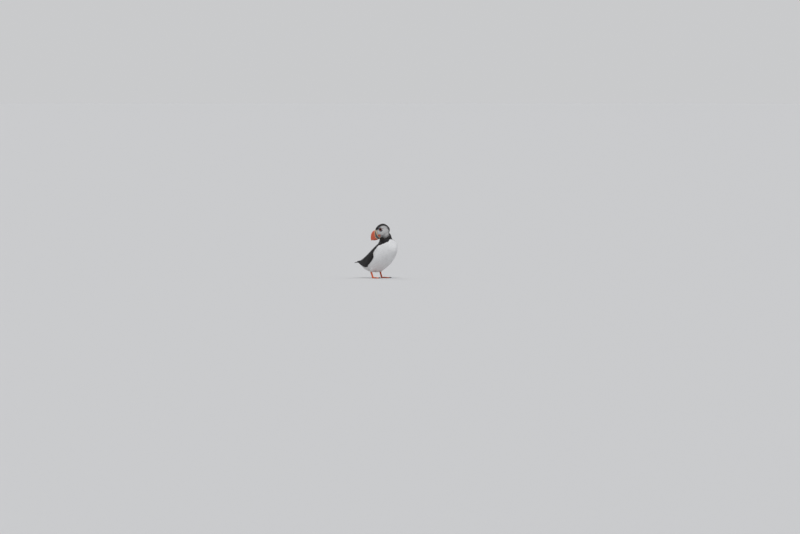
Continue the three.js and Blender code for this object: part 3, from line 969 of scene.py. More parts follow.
def stored(tree, geometry, name, value, kind="FLOAT_VECTOR", domain="POINT"):
    inputs = {"Geometry": geometry, "Name": name, "Value": value}
    node = addNode(tree, "GeometryNodeStoreNamedAttribute", inputs, data_type=kind, domain=domain)
    return node.outputs["Geometry"]


def chanceOf(tree, given, low, high, number):
    seed = maths(tree, "ADD", given["Seed"], float(number))
    inputs = {"Min": low, "Max": high, "Seed": seed}
    return addNode(tree, "FunctionNodeRandomValue", inputs, data_type="FLOAT").outputs["Value"]


def combined(tree, *values):
    return addNode(tree, "ShaderNodeCombineXYZ", dict(enumerate(values))).outputs[0]


def positionOf(tree):
    return addNode(tree, "GeometryNodeInputPosition").outputs[0]


def scatteredRoots(tree, given):
    # the roots of one region's feathers, each with its own place, normal and tone
    most = maths(tree, "DIVIDE", 3.0, maths(tree, "MULTIPLY", given["Spacing"], given["Spacing"]))
    inputs = {
        "Mesh": given["Geometry"],
        "Distance Min": given["Spacing"],
        "Density Max": most,
        "Density Factor": named(tree, given["Region"], "FLOAT"),
        "Seed": given["Seed"],
    }
    node = addNode(tree, "GeometryNodeDistributePointsOnFaces", inputs, distribute_method="POISSON")
    points = stored(tree, node.outputs["Points"], "rootAt", positionOf(tree))
    points = stored(tree, points, "rootUp", named(tree, "outward"))
    points = stored(tree, points, "rootPlace", named(tree, "skinPlace"))
    return stored(tree, points, "tone", chanceOf(tree, given, 0.0, 1.0, 1), "FLOAT")


def turnOfVane(tree, given):
    # along the lie, and a little out of order
    axes = {"Primary Axis": named(tree, "outward"), "Secondary Axis": named(tree, "lie")}
    turn = addNode(tree, "FunctionNodeAxesToRotation", axes, primary_axis="Z", secondary_axis="Y").outputs[0]
    wide = maths(tree, "MULTIPLY", chanceOf(tree, given, -1.0, 1.0, 2), given["Disorder"])
    tilt = maths(tree, "MULTIPLY", chanceOf(tree, given, -0.35, 0.45, 3), given["Disorder"])
    roll = maths(tree, "MULTIPLY", chanceOf(tree, given, -1.0, 1.0, 4), given["Disorder"])
    both = {"Rotation": turn, "Rotate By": combined(tree, tilt, roll, wide)}
    return addNode(tree, "FunctionNodeRotateRotation", both, rotation_space="LOCAL").outputs[0]


def sizeOfVane(tree, given):
    long = maths(tree, "MULTIPLY", named(tree, "vaneLength", "FLOAT"), given["Length"])
    long = maths(tree, "MULTIPLY", long, chanceOf(tree, given, 0.86, 1.12, 5))
    broad = maths(tree, "MULTIPLY", long, given["Breadth"])
    broad = maths(tree, "MULTIPLY", broad, chanceOf(tree, given, 0.9, 1.12, 6))
    return combined(tree, broad, long, maths(tree, "MULTIPLY", long, given["Lift"]))


def grownVanes(tree, given, points):
    children = {"Collection": given["Vanes"], "Separate Children": True, "Reset Children": True}
    last = maths(tree, "SUBTRACT", given["Shapes"], 1.0)
    pick = {4: 0, 5: last, "Seed": maths(tree, "ADD", given["Seed"], 7.0)}
    inputs = {
        "Points": points,
        "Instance": addNode(tree, "GeometryNodeCollectionInfo", children).outputs[0],
        "Pick Instance": True,
        "Instance Index": addNode(tree, "FunctionNodeRandomValue", pick, data_type="INT").outputs[2],
        "Rotation": turnOfVane(tree, given),
        "Scale": sizeOfVane(tree, given),
    }
    grown = addNode(tree, "GeometryNodeInstanceOnPoints", inputs).outputs[0]
    return addNode(tree, "GeometryNodeRealizeInstances", {"Geometry": grown}).outputs[0]


def nearestOnSkin(tree, given, value):
    inputs = {"Mesh": given["Geometry"], "Value": value}
    node = addNode(tree, "GeometryNodeSampleNearestSurface", inputs, data_type="FLOAT_VECTOR")
    return node.outputs["Value"]


def bentOverSkin(tree, given, mesh, above):
    # every vertex keeps its height over the root's own plane, but over the curved skin
    position, rootUp = positionOf(tree), named(tree, "rootUp")
    fromRoot = vectorMaths(tree, "SUBTRACT", position, named(tree, "rootAt"))
    padding = named(tree, "padding", "FLOAT")
    foot = nearestOnSkin(tree, given, position)
    rise = maths(tree, "ADD", vectorMaths(tree, "DOT_PRODUCT", fromRoot, rootUp), padding)
    bent = vectorMaths(tree, "ADD", foot, vectorMaths(tree, "SCALE", above, rise))
    # a vane that reaches past the end of the skin runs straight on
    straight = vectorMaths(tree, "ADD", position, vectorMaths(tree, "SCALE", rootUp, padding))
    along = vectorMaths(tree, "NORMALIZE", fromRoot)
    beyond = vectorMaths(tree, "DOT_PRODUCT", vectorMaths(tree, "SUBTRACT", position, foot), along)
    past = {"Value": beyond, "From Min": overhang[0], "From Max": overhang[1]}
    past = addNode(tree, "ShaderNodeMapRange", past).outputs[0]
    place = addNode(tree, "ShaderNodeMix", {0: past, 4: bent, 5: straight}, data_type="VECTOR").outputs[1]
    return addNode(tree, "GeometryNodeSetPosition", {"Geometry": mesh, "Position": place}).outputs[0]


def softlyShaded(tree, given, mesh, above):
    # the upper side is shaded more like the body under it, as a soft coat is
    mesh = stored(tree, mesh, "bodyUp", above)
    normal, bodyUp = addNode(tree, "GeometryNodeInputNormal").outputs, named(tree, "bodyUp")
    facing = vectorMaths(tree, "DOT_PRODUCT", normal["True Normal"], bodyUp)
    share = maths(tree, "MULTIPLY", maths(tree, "GREATER_THAN", facing, 0.1), given["Softness"])
    mixed = {0: share, 4: normal["Normal"], 5: bodyUp}
    soft = addNode(tree, "ShaderNodeMix", mixed, data_type="VECTOR").outputs[1]
    inputs = {"Mesh": mesh, "Custom Normal": soft}
    return addNode(tree, "GeometryNodeSetMeshNormal", inputs, mode="FREE", domain="CORNER").outputs[0]


def patchOfVane(tree):
    # each feather has its own small patch of the finish map, where its root lies on the skin's map
    patch = vectorMaths(tree, "SUBTRACT", named(tree, "vane"), (0.5, 0.5, 0.0))
    patch = vectorMaths(tree, "SCALE", patch, bakePatch)
    return vectorMaths(tree, "ADD", named(tree, "rootPlace"), patch)


def plumageTree():
    # scatters vanes over a surface, turns them along the lie, and bends them to it
    tree = bpy.data.node_groups.new("growPlumage", "GeometryNodeTree")
    new = tree.interface.new_socket
    new("Geometry", in_out="INPUT", socket_type="NodeSocketGeometry")
    new("Vanes", in_out="INPUT", socket_type="NodeSocketCollection")
    new("Region", in_out="INPUT", socket_type="NodeSocketString")
    for label, value in treeSettings.items():
        new(label, in_out="INPUT", socket_type="NodeSocketFloat").default_value = value
    new("Seed", in_out="INPUT", socket_type="NodeSocketInt")
    new("Shapes", in_out="INPUT", socket_type="NodeSocketInt")
    new("Finish", in_out="INPUT", socket_type="NodeSocketMaterial")
    new("Geometry", in_out="OUTPUT", socket_type="NodeSocketGeometry")
    given = tree.nodes.new("NodeGroupInput").outputs
    result = tree.nodes.new("NodeGroupOutput").inputs

    mesh = grownVanes(tree, given, scatteredRoots(tree, given))
    above = nearestOnSkin(tree, given, named(tree, "outward"))
    mesh = bentOverSkin(tree, given, mesh, above)
    mesh = softlyShaded(tree, given, mesh, above)
    mesh = stored(tree, mesh, "OFBake", patchOfVane(tree), "FLOAT2", "CORNER")
    mesh = addNode(tree, "GeometryNodeSetShadeSmooth", {"Geometry": mesh, "Shade Smooth": True}).outputs[0]
    inputs = {"Geometry": mesh, "Material": given["Finish"]}
    mesh = addNode(tree, "GeometryNodeSetMaterial", inputs).outputs[0]
    tree.links.new(mesh, result["Geometry"])
    return tree


coatPieces = {
    # region, finish, kind of vane, the tree's sizes where they differ, and the seed
    "faceFeathers": ("face", "grey", "soft", {"Spacing": 0.00072, "Breadth": 0.42, "Lift": 0.5}, 11),
    "capFeathers": ("cap", "black", "soft", {"Spacing": 0.00095, "Breadth": 0.50, "Lift": 0.55}, 12),
    "collarFeathers": ("collar", "black", "soft", {"Spacing": 0.0013, "Breadth": 0.46, "Lift": 0.55}, 13),
    "breastFeathers": ("breast", "white", "soft", {"Spacing": 0.00125, "Breadth": 0.33, "Lift": 0.5}, 14),
    "bellyFeathers": ("belly", "white", "soft", {"Spacing": 0.00135, "Breadth": 0.33, "Lift": 0.5}, 15),
    "backFeathers": ("back", "black", "soft", {"Spacing": 0.0014, "Breadth": 0.50, "Lift": 0.5}, 16),
    "wingCoverts": ("wing", "black", "firm", {"Spacing": 0.0016, "Breadth": 0.62, "Lift": 0.8}, 17),
    "scapulars": ("scapular", "black", "firm", {"Spacing": 0.0026, "Breadth": 0.52, "Lift": 0.7}, 18),
}
onlyForGrowing = ("lie", "outward", "vaneLength", "blackSide", "cheekSide", "padding", "skinPlace",
                  "rootAt", "rootUp", "rootPlace", "bodyUp", "material_index", "id")


def growPlumage(name, skin, tree, vanes):
    region, finish, kind, sizes, seed = coatPieces[name]
    piece = linked(name, skin.data.copy())
    modifier = piece.modifiers.new("plumage", "NODES")
    modifier.node_group = tree
    sockets = {s.name: s.identifier for s in tree.interface.items_tree if s.in_out == "INPUT"}
    values = {"Vanes": vanes[kind], "Shapes": vaneSettings[kind]["shapes"], "Finish": plumage[finish]}
    values.update(sizes, Region="grows_" + region, Seed=seed)
    for label, value in values.items():
        modifier[sockets[label]] = value
    applied(piece)
    for attribute in [a.name for a in piece.data.attributes]:
        if attribute.startswith("grows_") or attribute in onlyForGrowing:
            piece.data.attributes.remove(piece.data.attributes[attribute])
    finished(piece, plumage[finish], finish + "_feathers")
    print(name, "grown,", len(piece.data.polygons), "faces")


# closed shells from rings of points
sharpFrom = 75  # degrees between two faces, from which their edge stays crisp


def turnsAround(count):
    return np.linspace(0, 2 * math.pi, count, endpoint=False)


def betweenRings(rows, count, closed=False):
    # faces from each ring of points to the next, and from the last to the first where it closes
    faces = []
    for row in range(rows if closed else rows - 1):
        here, after = row * count, (row + 1) % rows * count
        for i in range(count):
            following = (i + 1) % count
            faces.append((here + i, here + following, after + following, after + i))
    return faces


def turnedOut(mesh):
    # faces point outwards, and thin edges stay crisp
    shape = bmesh.new()
    shape.from_mesh(mesh)
    bmesh.ops.remove_doubles(shape, verts=shape.verts, dist=1e-6)
    bmesh.ops.recalc_face_normals(shape, faces=shape.faces)
    for edge in shape.edges:
        edge.smooth = edge.calc_face_angle(0) < math.radians(sharpFrom)
    shape.to_mesh(mesh)
    shape.free()
    mesh.shade_smooth()


def ringShell(name, rings):
    # rings: rows x count x 3 places, each row one ring, closed by a pole at each end
    rows, count = rings.shape[:2]
    faces = betweenRings(rows, count)
    first, last, base = rows * count, rows * count + 1, (rows - 1) * count
    faces += [(first, (i + 1) % count, i) for i in range(count)]
    faces += [(last, base + i, base + (i + 1) % count) for i in range(count)]
    piece = newPiece(name, [*rings.reshape(-1, 3), rings[0].mean(0), rings[-1].mean(0)], faces)
    turnedOut(piece.data)
    return piece


def joinedPieces(name, pieces):
    bpy.ops.object.select_all(action="DESELECT")
    for piece in pieces:
        piece.select_set(True)
    bpy.context.view_layer.objects.active = pieces[0]
    bpy.ops.object.join()
    pieces[0].name = pieces[0].data.name = name
    pieces[0].select_set(False)
    return pieces[0]


def finished(piece, material, slot, *nodes):
    piece.data.materials.clear()
    piece.data.materials.append(material)
    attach(piece, "root")
    if nodes:
        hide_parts(*nodes)
    return piece


# the bill, in the head's own millimetres
billSettings = {
    "base": 13.0,
    "tip": 54.3,
    "halfWidth": 7.2,
    "ridge": [(13, 9), (20, 14.6), (28, 16.4), (37, 14), (45, 7.8), (51, -0.8), (53.8, -7.8), (54.3, -13.2)],
    "keel": [(13, -18), (19, -21.4), (29, -21), (39, -18.8), (46, -15.6), (50, -12.8)],
    "upperEnd": 53.1,  # where the mouth edge of each half ends
    "lowerEnd": 49.4,
    "chevron": 36.4,  # the pale ridge between slate and red
    "grooves": (42.2, 46.6, 50.2),
    "chevronRise": 0.42,
    "grooveDepth": 0.40,
    "besideGroove": 0.15,  # how far the plates stand up beside a groove
    "rimRise": 0.55,
    "slateDepth": 0.25,
    "nostrilDepth": 0.75,
    "nostril": [(27.0, -5.6), (31.5, -5.9)],
    "rows": 130,
    "columns": 30,
}


def mouthLine(forward):
    return -7.4 - 0.0028 * (forward - 18) ** 2


def faceEdge(up):
    return 24.3 - 0.0165 * (up + 1) ** 2  # where the bill leaves the feathers


def billCoordinate(forward, up):
    # grows towards the tip, and is even along a groove
    above = np.maximum(0, up - mouthLine(forward))
    below = np.maximum(0, mouthLine(forward) - up)
    upper = 0.5 * above - 0.0045 * above * (forward - 22) - 0.012 * above * (24 - above)
    lower = 0.62 * below - 0.012 * below * (14 - below)
    return forward + upper + lower


def fromNostril(forward, up):
    return np.abs(sideOfLine(np.column_stack([forward, up]), np.array(billSettings["nostril"])))


def billRelief(forward, up):
    settings = billSettings
    chevron = settings["chevron"]
    coordinate = billCoordinate(forward, up)
    fromFace = forward - faceEdge(up)
    relief = settings["chevronRise"] * np.exp(-(((coordinate - chevron) / 0.85) ** 2))
    for groove in settings["grooves"]:
        relief -= settings["grooveDepth"] * np.exp(-(((coordinate - groove) / 0.50) ** 2))
        relief += settings["besideGroove"] * np.exp(-(((coordinate - groove + 1.2) / 0.8) ** 2))
    rim = smoothStep(-0.6, 0.4, fromFace) * smoothStep(3.4, 2.2, fromFace)
    relief += rim * (settings["rimRise"] + 0.10 * np.sin(up * 2.6 + fromFace * 1.7))
    slate = smoothStep(2.4, 4.0, fromFace) * smoothStep(chevron - 1, chevron - 3, coordinate)
    relief -= settings["slateDepth"] * slate
    relief -= settings["nostrilDepth"] * np.exp(-((fromNostril(forward, up) / 0.42) ** 2))
    return relief


def billHalf(name, upper):
    settings = billSettings
    rows, columns = settings["rows"], settings["columns"]
    outline = curveThrough(settings["ridge" if upper else "keel"], rows)
    lean = np.linspace(0, 1, rows)
    inner = settings["base"] + (settings["upperEnd" if upper else "lowerEnd"] - settings["base"]) * lean
    heights = np.concatenate([[0], np.linspace(0.012, 1, columns) ** 1.15])
    rings = []
    for row in range(rows):
        forward = outline[row, 0] + (inner[row] - outline[row, 0]) * heights
        mouth = mouthLine(inner[row]) + (0.03 if upper else -0.03)
        up = outline[row, 1] + (mouth - outline[row, 1]) * heights
        t = np.clip((forward - settings["base"]) / (settings["tip"] - settings["base"]), 0, 1)
        width = settings["halfWidth"] * np.sqrt(np.maximum(0.0004, 1 - t**1.8))
        full = np.sin(math.pi * np.minimum(0.5, 0.14 + 0.62 * heights))
        full = full * np.sqrt(1 - (1 - np.minimum(1, heights / 0.10)) ** 2)
        relief = billRelief(forward, up) * smoothStep(0.0, 0.3, full)
        side = np.maximum(0, width * full + relief * smoothStep(0.2, 1.5, width))
        left = np.column_stack([forward, side, up])
        right = np.column_stack([forward, -side, up])[::-1]
        middle = np.array([[forward[-1], 0, mouth + (0.5 if upper else -0.2)]])
        rings.append(np.vstack([left, middle, right[:-1]]))
    rings = np.array(rings)
    piece = ringShell(name, fromHead(rings.reshape(-1, 3)).reshape(rings.shape))
    head = toHead(placesOf(piece.data))
    values = [billCoordinate(head[:, 0], head[:, 2]), head[:, 0] - faceEdge(head[:, 2]), head[:, 2]]
    storeValues(piece.data, "billPlace", np.column_stack(values), "FLOAT_VECTOR")
    slit = smoothStep(0.55, 0.2, fromNostril(head[:, 0], head[:, 2]))
    storeValues(piece.data, "slit", slit * (np.abs(head[:, 1]) > 1.5))
    return piece


billColours = {
    "slate": ((0.040, 0.050, 0.075), (0.115, 0.120, 0.150)),
    "flame": ((0.455, 0.043, 0.026), (0.61, 0.090, 0.043)),
    "tip": (0.72, 0.26, 0.06),
    "groove": (0.74, 0.34, 0.11),
    "chevron": (0.80, 0.58, 0.27),
    "rim": (0.74, 0.55, 0.33),
    "wear": (0.85, 0.72, 0.55),
    "nostril": (0.012, 0.010, 0.012),
}


def nearTo(tree, value, place, low, high):
    # 1 within low of the place, and 0 from high on
    away = maths(tree, "ABSOLUTE", maths(tree, "SUBTRACT", value, place))
    return inverted(tree, stepped(tree, away, low, high))


def billMaterial():
    settings, colours = billSettings, billColours
    plain = {"Coat Weight": 0.25, "Coat Roughness": 0.25, "Specular IOR Level": 0.45}
    material, tree, shader = newMaterial("billHorn", plain)
    place = addNode(tree, "ShaderNodeSeparateXYZ", {0: attributeOf(tree, "billPlace")["Vector"]}).outputs
    horn = placed(tree, "horn", {"Along": place["X"], "Place": objectPlace(tree), "Lines": 1.3})
    ragged = maths(tree, "MULTIPLY_ADD", horn["Cloud"], 1.0, -0.5)
    along = maths(tree, "ADD", place["X"], ragged)
    red = stepped(tree, along, settings["chevron"] + 0.2, settings["chevron"] + 1.2)
    ridge = nearTo(tree, along, settings["chevron"], 0.45, 0.95)
    rim = inverted(tree, stepped(tree, maths(tree, "ADD", place["Y"], ragged), 2.2, 3.1))
    tip = stepped(tree, along, settings["grooves"][-1] + 0.5, settings["tip"] + 2)
    pale, *others = [nearTo(tree, along, groove, 0.10, 0.52) for groove in settings["grooves"]]
    for line in others:
        pale = maths(tree, "MAXIMUM", pale, line)
    slate = blended(tree, horn["Cloud"], *colours["slate"])
    flame = blended(tree, horn["Cloud"], *colours["flame"])
    flame = blended(tree, maths(tree, "MULTIPLY", tip, 0.55), flame, colours["tip"])
    colour = blended(tree, red, slate, flame)
    colour = blended(tree, maths(tree, "MULTIPLY", pale, 0.75), colour, colours["groove"])
    colour = blended(tree, ridge, colour, colours["chevron"])
    colour = blended(tree, rim, colour, colours["rim"])
    colour = blended(tree, maths(tree, "MULTIPLY", horn["Wear"], 0.05), colour, colours["wear"])
    colour = blended(tree, attributeOf(tree, "slit")["Fac"], colour, colours["nostril"])
    feed(tree, shader.inputs["Base Color"], colour)
    rough = maths(tree, "MULTIPLY_ADD", horn["Wear"], 0.18, maths(tree, "MULTIPLY_ADD", rim, 0.22, 0.34))
    feed(tree, shader.inputs["Roughness"], rough)
    beads = placed(tree, "scales", {"Place": objectPlace(tree), "Size": 1100.0})
    beaded = maths(tree, "MULTIPLY", maths(tree, "MULTIPLY", beads["Height"], rim), 1.3)
    height = maths(tree, "ADD", maths(tree, "MULTIPLY", horn["Lines height"], 0.5), beaded)
    bumped(tree, shader, height, 0.00014, 0.8)
    return material


def makeBill():
    horn = billMaterial()
    finished(billHalf("billUpper", True), horn, "bill_horn", "bill_upper")
    finished(billHalf("billLower", False), horn, "bill_horn", "bill_lower")


# eyes, lids, and the plates and fleshy corners of the face
faceSettings = {
    "eyeRadius": 5.4,
    "eyeAxis": (0.19, 0.87, 0.45),  # forward, outwards, up
    "lid": (3.95, 3.55, 0.58, 0.10),  # each ring's radius, height on the eye, thickness and beading
    "socket": (4.78, 2.75, 0.85, 0.03),
    # the plates' outlines, forward and up in the head, and how thick they are
    "browPlate": [(3.8, 15.0), (7.4, 14.4), (11.9, 14.2), (12.3, 15.8),
                  (11.3, 18.4), (10.2, 20.7), (8.8, 19.7), (6.0, 17.2)],
    "browThick": 1.25,
    "lowerPlate": [(2.2, 5.1), (4.8, 6.2), (8.0, 6.3), (11.3, 5.9),
                   (13.8, 4.4), (11.2, 2.8), (7.8, 2.5), (4.6, 3.3)],
    "lowerThick": 1.1,
    "cornerPlace": (19.8, -7.6),
    "cornerRadius": 5.9,
}


def sideFrame(side):
    # the eye's own axes: outwards, forwards along the face and up along it
    forward, outwards, up = faceSettings["eyeAxis"]
    axis = unit(np.array([forward, outwards * side, up])) @ headAxes
    ahead = unit(headAxes[0] - axis * (headAxes[0] @ axis))
    return axis, ahead, unit(np.cross(ahead, axis) * side)


def makeEye(sideName, side):
    settings = faceSettings
    centre = middleOf("eye_" + sideName)
    axis, ahead, above = sideFrame(side)
    turns = turnsAround(40)
    rings = []
    for angle in np.linspace(0.02, math.pi - 0.02, 30):
        # the cornea stands out a little
        radius = settings["eyeRadius"] * (1 + 0.035 * smoothStep(0.75, 0.0, angle))
        circle = ahead * np.cos(turns)[:, None] + above * np.sin(turns)[:, None]
        rings.append(centre + (circle * math.sin(angle) + axis * math.cos(angle)) * radius / 1000)
    piece = ringShell("eye" + sideName.title(), np.array(rings))
    offset = placesOf(piece.data) - centre
    angle = np.arccos(np.clip(unit(offset) @ axis, -1, 1))
    storeValues(piece.data, "fromPupil", angle)
    return piece


def eyeMaterial():
    plain = {"Roughness": 0.05, "Specular IOR Level": 0.32, "IOR": 1.38}
    material, tree, shader = newMaterial("darkEye", plain)
    angle = attributeOf(tree, "fromPupil")["Fac"]
    mottle = placed(tree, "mottle", {"Place": objectPlace(tree), "Broad": 700.0, "Fine": 3000.0})
    iris = blended(tree, mottle["Fine tone"], (0.008, 0.0035, 0.0025), (0.026, 0.011, 0.006))
    colour = blended(tree, stepped(tree, angle, 0.34, 0.40), (0.002, 0.002, 0.003), iris)
    colour = blended(tree, stepped(tree, angle, 0.78, 0.86), colour, (0.006, 0.005, 0.005))
    feed(tree, shader.inputs["Base Color"], colour)
    return material


def eyeRing(name, sideName, side, radius, height, thickness, beads):
    # a fleshy ring seated on the eyeball
    centre = middleOf("eye_" + sideName)
    axis, ahead, above = sideFrame(side)
    across = turnsAround(14)[:, None]
    rings = []
    for turn in turnsAround(96):
        spoke = ahead * math.cos(turn) * 1.04 + above * math.sin(turn) * 0.96
        seat = centre + (spoke * radius + axis * height) / 1000
        thick = thickness * (1 + beads * math.sin(26 * turn) + 0.7 * beads * math.sin(11 * turn + 1))
        ring = unit(spoke) * np.cos(across) * 0.95 + axis * np.sin(across) * 0.85
        rings.append(seat + ring * thick / 1000)
    faces = betweenRings(len(rings), len(across), closed=True)
    piece = newPiece(name + sideName.title(), np.vstack(rings), faces)
    turnedOut(piece.data)
    return piece


def onFace(surface, side, forward, up):
    # where the skin of the face lies at that place in the head, and its normal
    start = fromHead([(forward, 60 * side, up)])[0]
    hit, normal, _, _ = surface.ray_cast(Vector(start), Vector(-headAxes[1] * side))
    return np.array(hit), np.array(normal)


# from the middle of a plate to its edge and under it: share of the way out, and height in plate thicknesses
plateSection = [(0.02, 1.0), (0.25, 0.98), (0.5, 0.9), (0.72, 0.76),
                (0.88, 0.5), (0.97, 0.15), (1.0, -0.5), (0.8, -1.0)]


def facePlate(name, outline, side, surface, thick):
    # a small horny plate laid on the face
    edge = curveThrough(outline + outline[:1], 49)[:-1]
    middle = edge.mean(0)
    rings = []
    for reach, height in plateSection:
        ring = []
        for forward, up in middle + (edge - middle) * reach:
            hit, normal = onFace(surface, side, forward, up)
            ring.append(hit + normal * height * thick / 1000)
        rings.append(ring)
    return ringShell(name, np.array(rings))


def makeCorner(sideName, side, surface):
    # the folded rosette of skin at the corner of the mouth
    settings = faceSettings
    middle, normal = onFace(surface, side, *settings["cornerPlace"])
    axis = unit(normal + headAxes[1] * side * 0.8)
    ahead = unit(headAxes[0] - axis * (headAxes[0] @ axis))
    above = unit(headAxes[2] - axis * (headAxes[2] @ axis) - ahead * (headAxes[2] @ ahead))
    turns = turnsAround(84)
    radius = settings["cornerRadius"] * (1 + 0.05 * np.cos(5 * turns) + 0.05 * np.cos(9 * turns + 1))
    rings = []
    for reach in (0.02, 0.1, 0.2, 0.3, 0.42, 0.54, 0.66, 0.78, 0.88, 0.95, 1.0, 0.96, 0.6):
        x, y = radius * reach * np.cos(turns) * 0.92, radius * reach * np.sin(turns) * 1.08
        height = 2.5 * math.sqrt(max(0, 1 - reach**2.2)) * np.ones_like(turns)
        height += 0.42 * reach * (1 - reach) ** 0.4 * np.cos(11 * turns + 2.2 * reach) * 1.3  # radial folds
        height -= 1.5 * np.exp(-(((y - 0.25 * x) / 0.55) ** 2)) * smoothStep(-4.4, -2.0, x)  # the gape
        if len(rings) > 10:  # the last rings go in under the rim
            height = np.full_like(turns, -0.8 - 1.2 * (1 - reach))
        ring = ahead * x[:, None] + above * y[:, None] + axis * height[:, None]
        rings.append(middle + ring / 1000)
    return ringShell("mouthCorner" + sideName.title(), np.array(rings))


fleshColours = {
    # light, deep, and how rough
    "lidSkin": ((0.42, 0.048, 0.022), (0.26, 0.024, 0.012), 0.42),
    "socketSkin": ((0.105, 0.098, 0.100), (0.055, 0.050, 0.052), 0.6),
    "mouthSkin": ((0.75, 0.205, 0.125), (0.58, 0.105, 0.072), 0.42),
}
fleshDepth = (0.0012, 0.0005, 0.0003)  # how far light goes into skin, in metres


def fleshMaterial(name):
    light, deep, rough = fleshColours[name]
    plain = {"Subsurface Weight": 0.08, "Subsurface Radius": fleshDepth, "Specular IOR Level": 0.45}
    material, tree, shader = newMaterial(name, plain)
    scales = placed(tree, "scales", {"Place": objectPlace(tree), "Size": 1900.0})
    mottle = placed(tree, "mottle", {"Place": objectPlace(tree), "Broad": 420.0, "Fine": 2600.0})
    colour = blended(tree, mottle["Broad tone"], light, deep)
    # painted shade: the sunk lines between the small scales are coloured darker
    foldShade = maths(tree, "MULTIPLY", scales["GrooveShade"], 0.5)
    colour = blended(tree, foldShade, colour, tuple(0.55 * c for c in deep))
    feed(tree, shader.inputs["Base Color"], colour)
    rough = maths(tree, "MULTIPLY_ADD", mottle["Fine tone"], 0.25, rough - 0.1)
    feed(tree, shader.inputs["Roughness"], rough)
    bumped(tree, shader, scales["Height"], 0.00012, 0.7)
    return material


def plateMaterial():
    material, tree, shader = newMaterial("plateHorn", {"Coat Weight": 0.1, "Coat Roughness": 0.3})
    place = addNode(tree, "ShaderNodeSeparateXYZ", {0: objectPlace(tree)}).outputs
    along = maths(tree, "MULTIPLY", place["Z"], 1000.0)
    horn = placed(tree, "horn", {"Along": along, "Place": objectPlace(tree), "Lines": 1.1})
    colour = blended(tree, horn["Cloud"], (0.022, 0.027, 0.039), (0.066, 0.074, 0.094))
    colour = blended(tree, maths(tree, "MULTIPLY", horn["Wear"], 0.2), colour, (0.24, 0.25, 0.27))
    feed(tree, shader.inputs["Base Color"], colour)
    feed(tree, shader.inputs["Roughness"], maths(tree, "MULTIPLY_ADD", horn["Cloud"], 0.25, 0.36))
    bumped(tree, shader, horn["Lines height"], 0.00010, 0.6)
    return material


def makeFace(surface):
    settings = faceSettings
    eyeFinish, plateFinish = eyeMaterial(), plateMaterial()
    lidFinish, socketFinish, cornerFinish = [fleshMaterial(name) for name in fleshColours]
    for sideName, side in sides:
        finished(makeEye(sideName, side), eyeFinish, "eye", "eye_" + sideName)
        finished(eyeRing("lid", sideName, side, *settings["lid"]), lidFinish, "mouth_skin")
        finished(eyeRing("socket", sideName, side, *settings["socket"]), socketFinish, "plate_horn")
        for plate in ("brow", "lower"):
            outline, thick = settings[plate + "Plate"], settings[plate + "Thick"]
            piece = facePlate(plate + "Plate" + sideName.title(), outline, side, surface, thick)
            finished(piece, plateFinish, "plate_horn", plate + "_plate_" + sideName)
        finished(makeCorner(sideName, side, surface), cornerFinish, "mouth_skin", "mouth_corner_" + sideName)


# flight feathers of the wings and the tail
quillRows = {
    # first and last root and the line of tips are forward and up in the body, in millimetres
    "primaries": {
        "count": 10,
        "roots": [(2, 61), (-4, 70)],
        "tips": [(-91, 61), (-84, 62), (-71, 63.5), (-52, 68)],
        "sag": 6.5,
        "breadth": 8.5,
        "heights": (0.3, 0.35),  # over the skin, at root and tip
        "stack": 0.9,  # how much higher one edge lies than the other
    },
    "secondaries": {
        "count": 12,
        "roots": [(5, 63), (6, 98)],
        "tips": [(-40, 47.5), (-50, 56), (-57, 66)],
        "sag": 3.0,
        "breadth": 9.0,
        "heights": (0.7, 1.15),
        "stack": 0.8,
    },
    "greaterCoverts": {
        "count": 14,
        "roots": [(13, 72), (13, 101)],
        "tips": [(-14, 55.5), (-22, 70), (-27, 82)],
        "sag": 1.5,
        "breadth": 7.5,
        "heights": (1.1, 1.55),
        "stack": 0.6,
    },
    "medianCoverts": {
        "count": 16,
        "roots": [(20, 82), (20, 107)],
        "tips": [(3, 63), (-4, 78), (-8, 92)],
        "sag": 0.8,
        "breadth": 6.2,
        "heights": (1.4, 1.9),
        "stack": 0.5,
    },
}
quillShape = {
    "rows": 20,
    "thick": 0.2,
    "columns": (-0.38, -0.22, 0.0, 0.3, 0.62),  # the shaft is nearer one edge
    "seed": 5,
    "lastSupport": -70.0,  # behind it the quills run straight on, clear of the tail
    "patches": (12, 6),  # each feather has its own patch of the finish
}
tailSettings = {
    "count": 14,
    "rootForward": -56.0,
    "rootUp": 60.5,
    "length": 45.0,
    "halfWidth": 21.0,
    "breadth": 8.5,
    "roundFrom": 0.75,  # share of the length from which the tip is rounded
}


def quillSteps():
    # closer together towards the tip, so that it is round
    return 1 - (1 - np.linspace(0, 1, quillShape["rows"])) ** 1.7


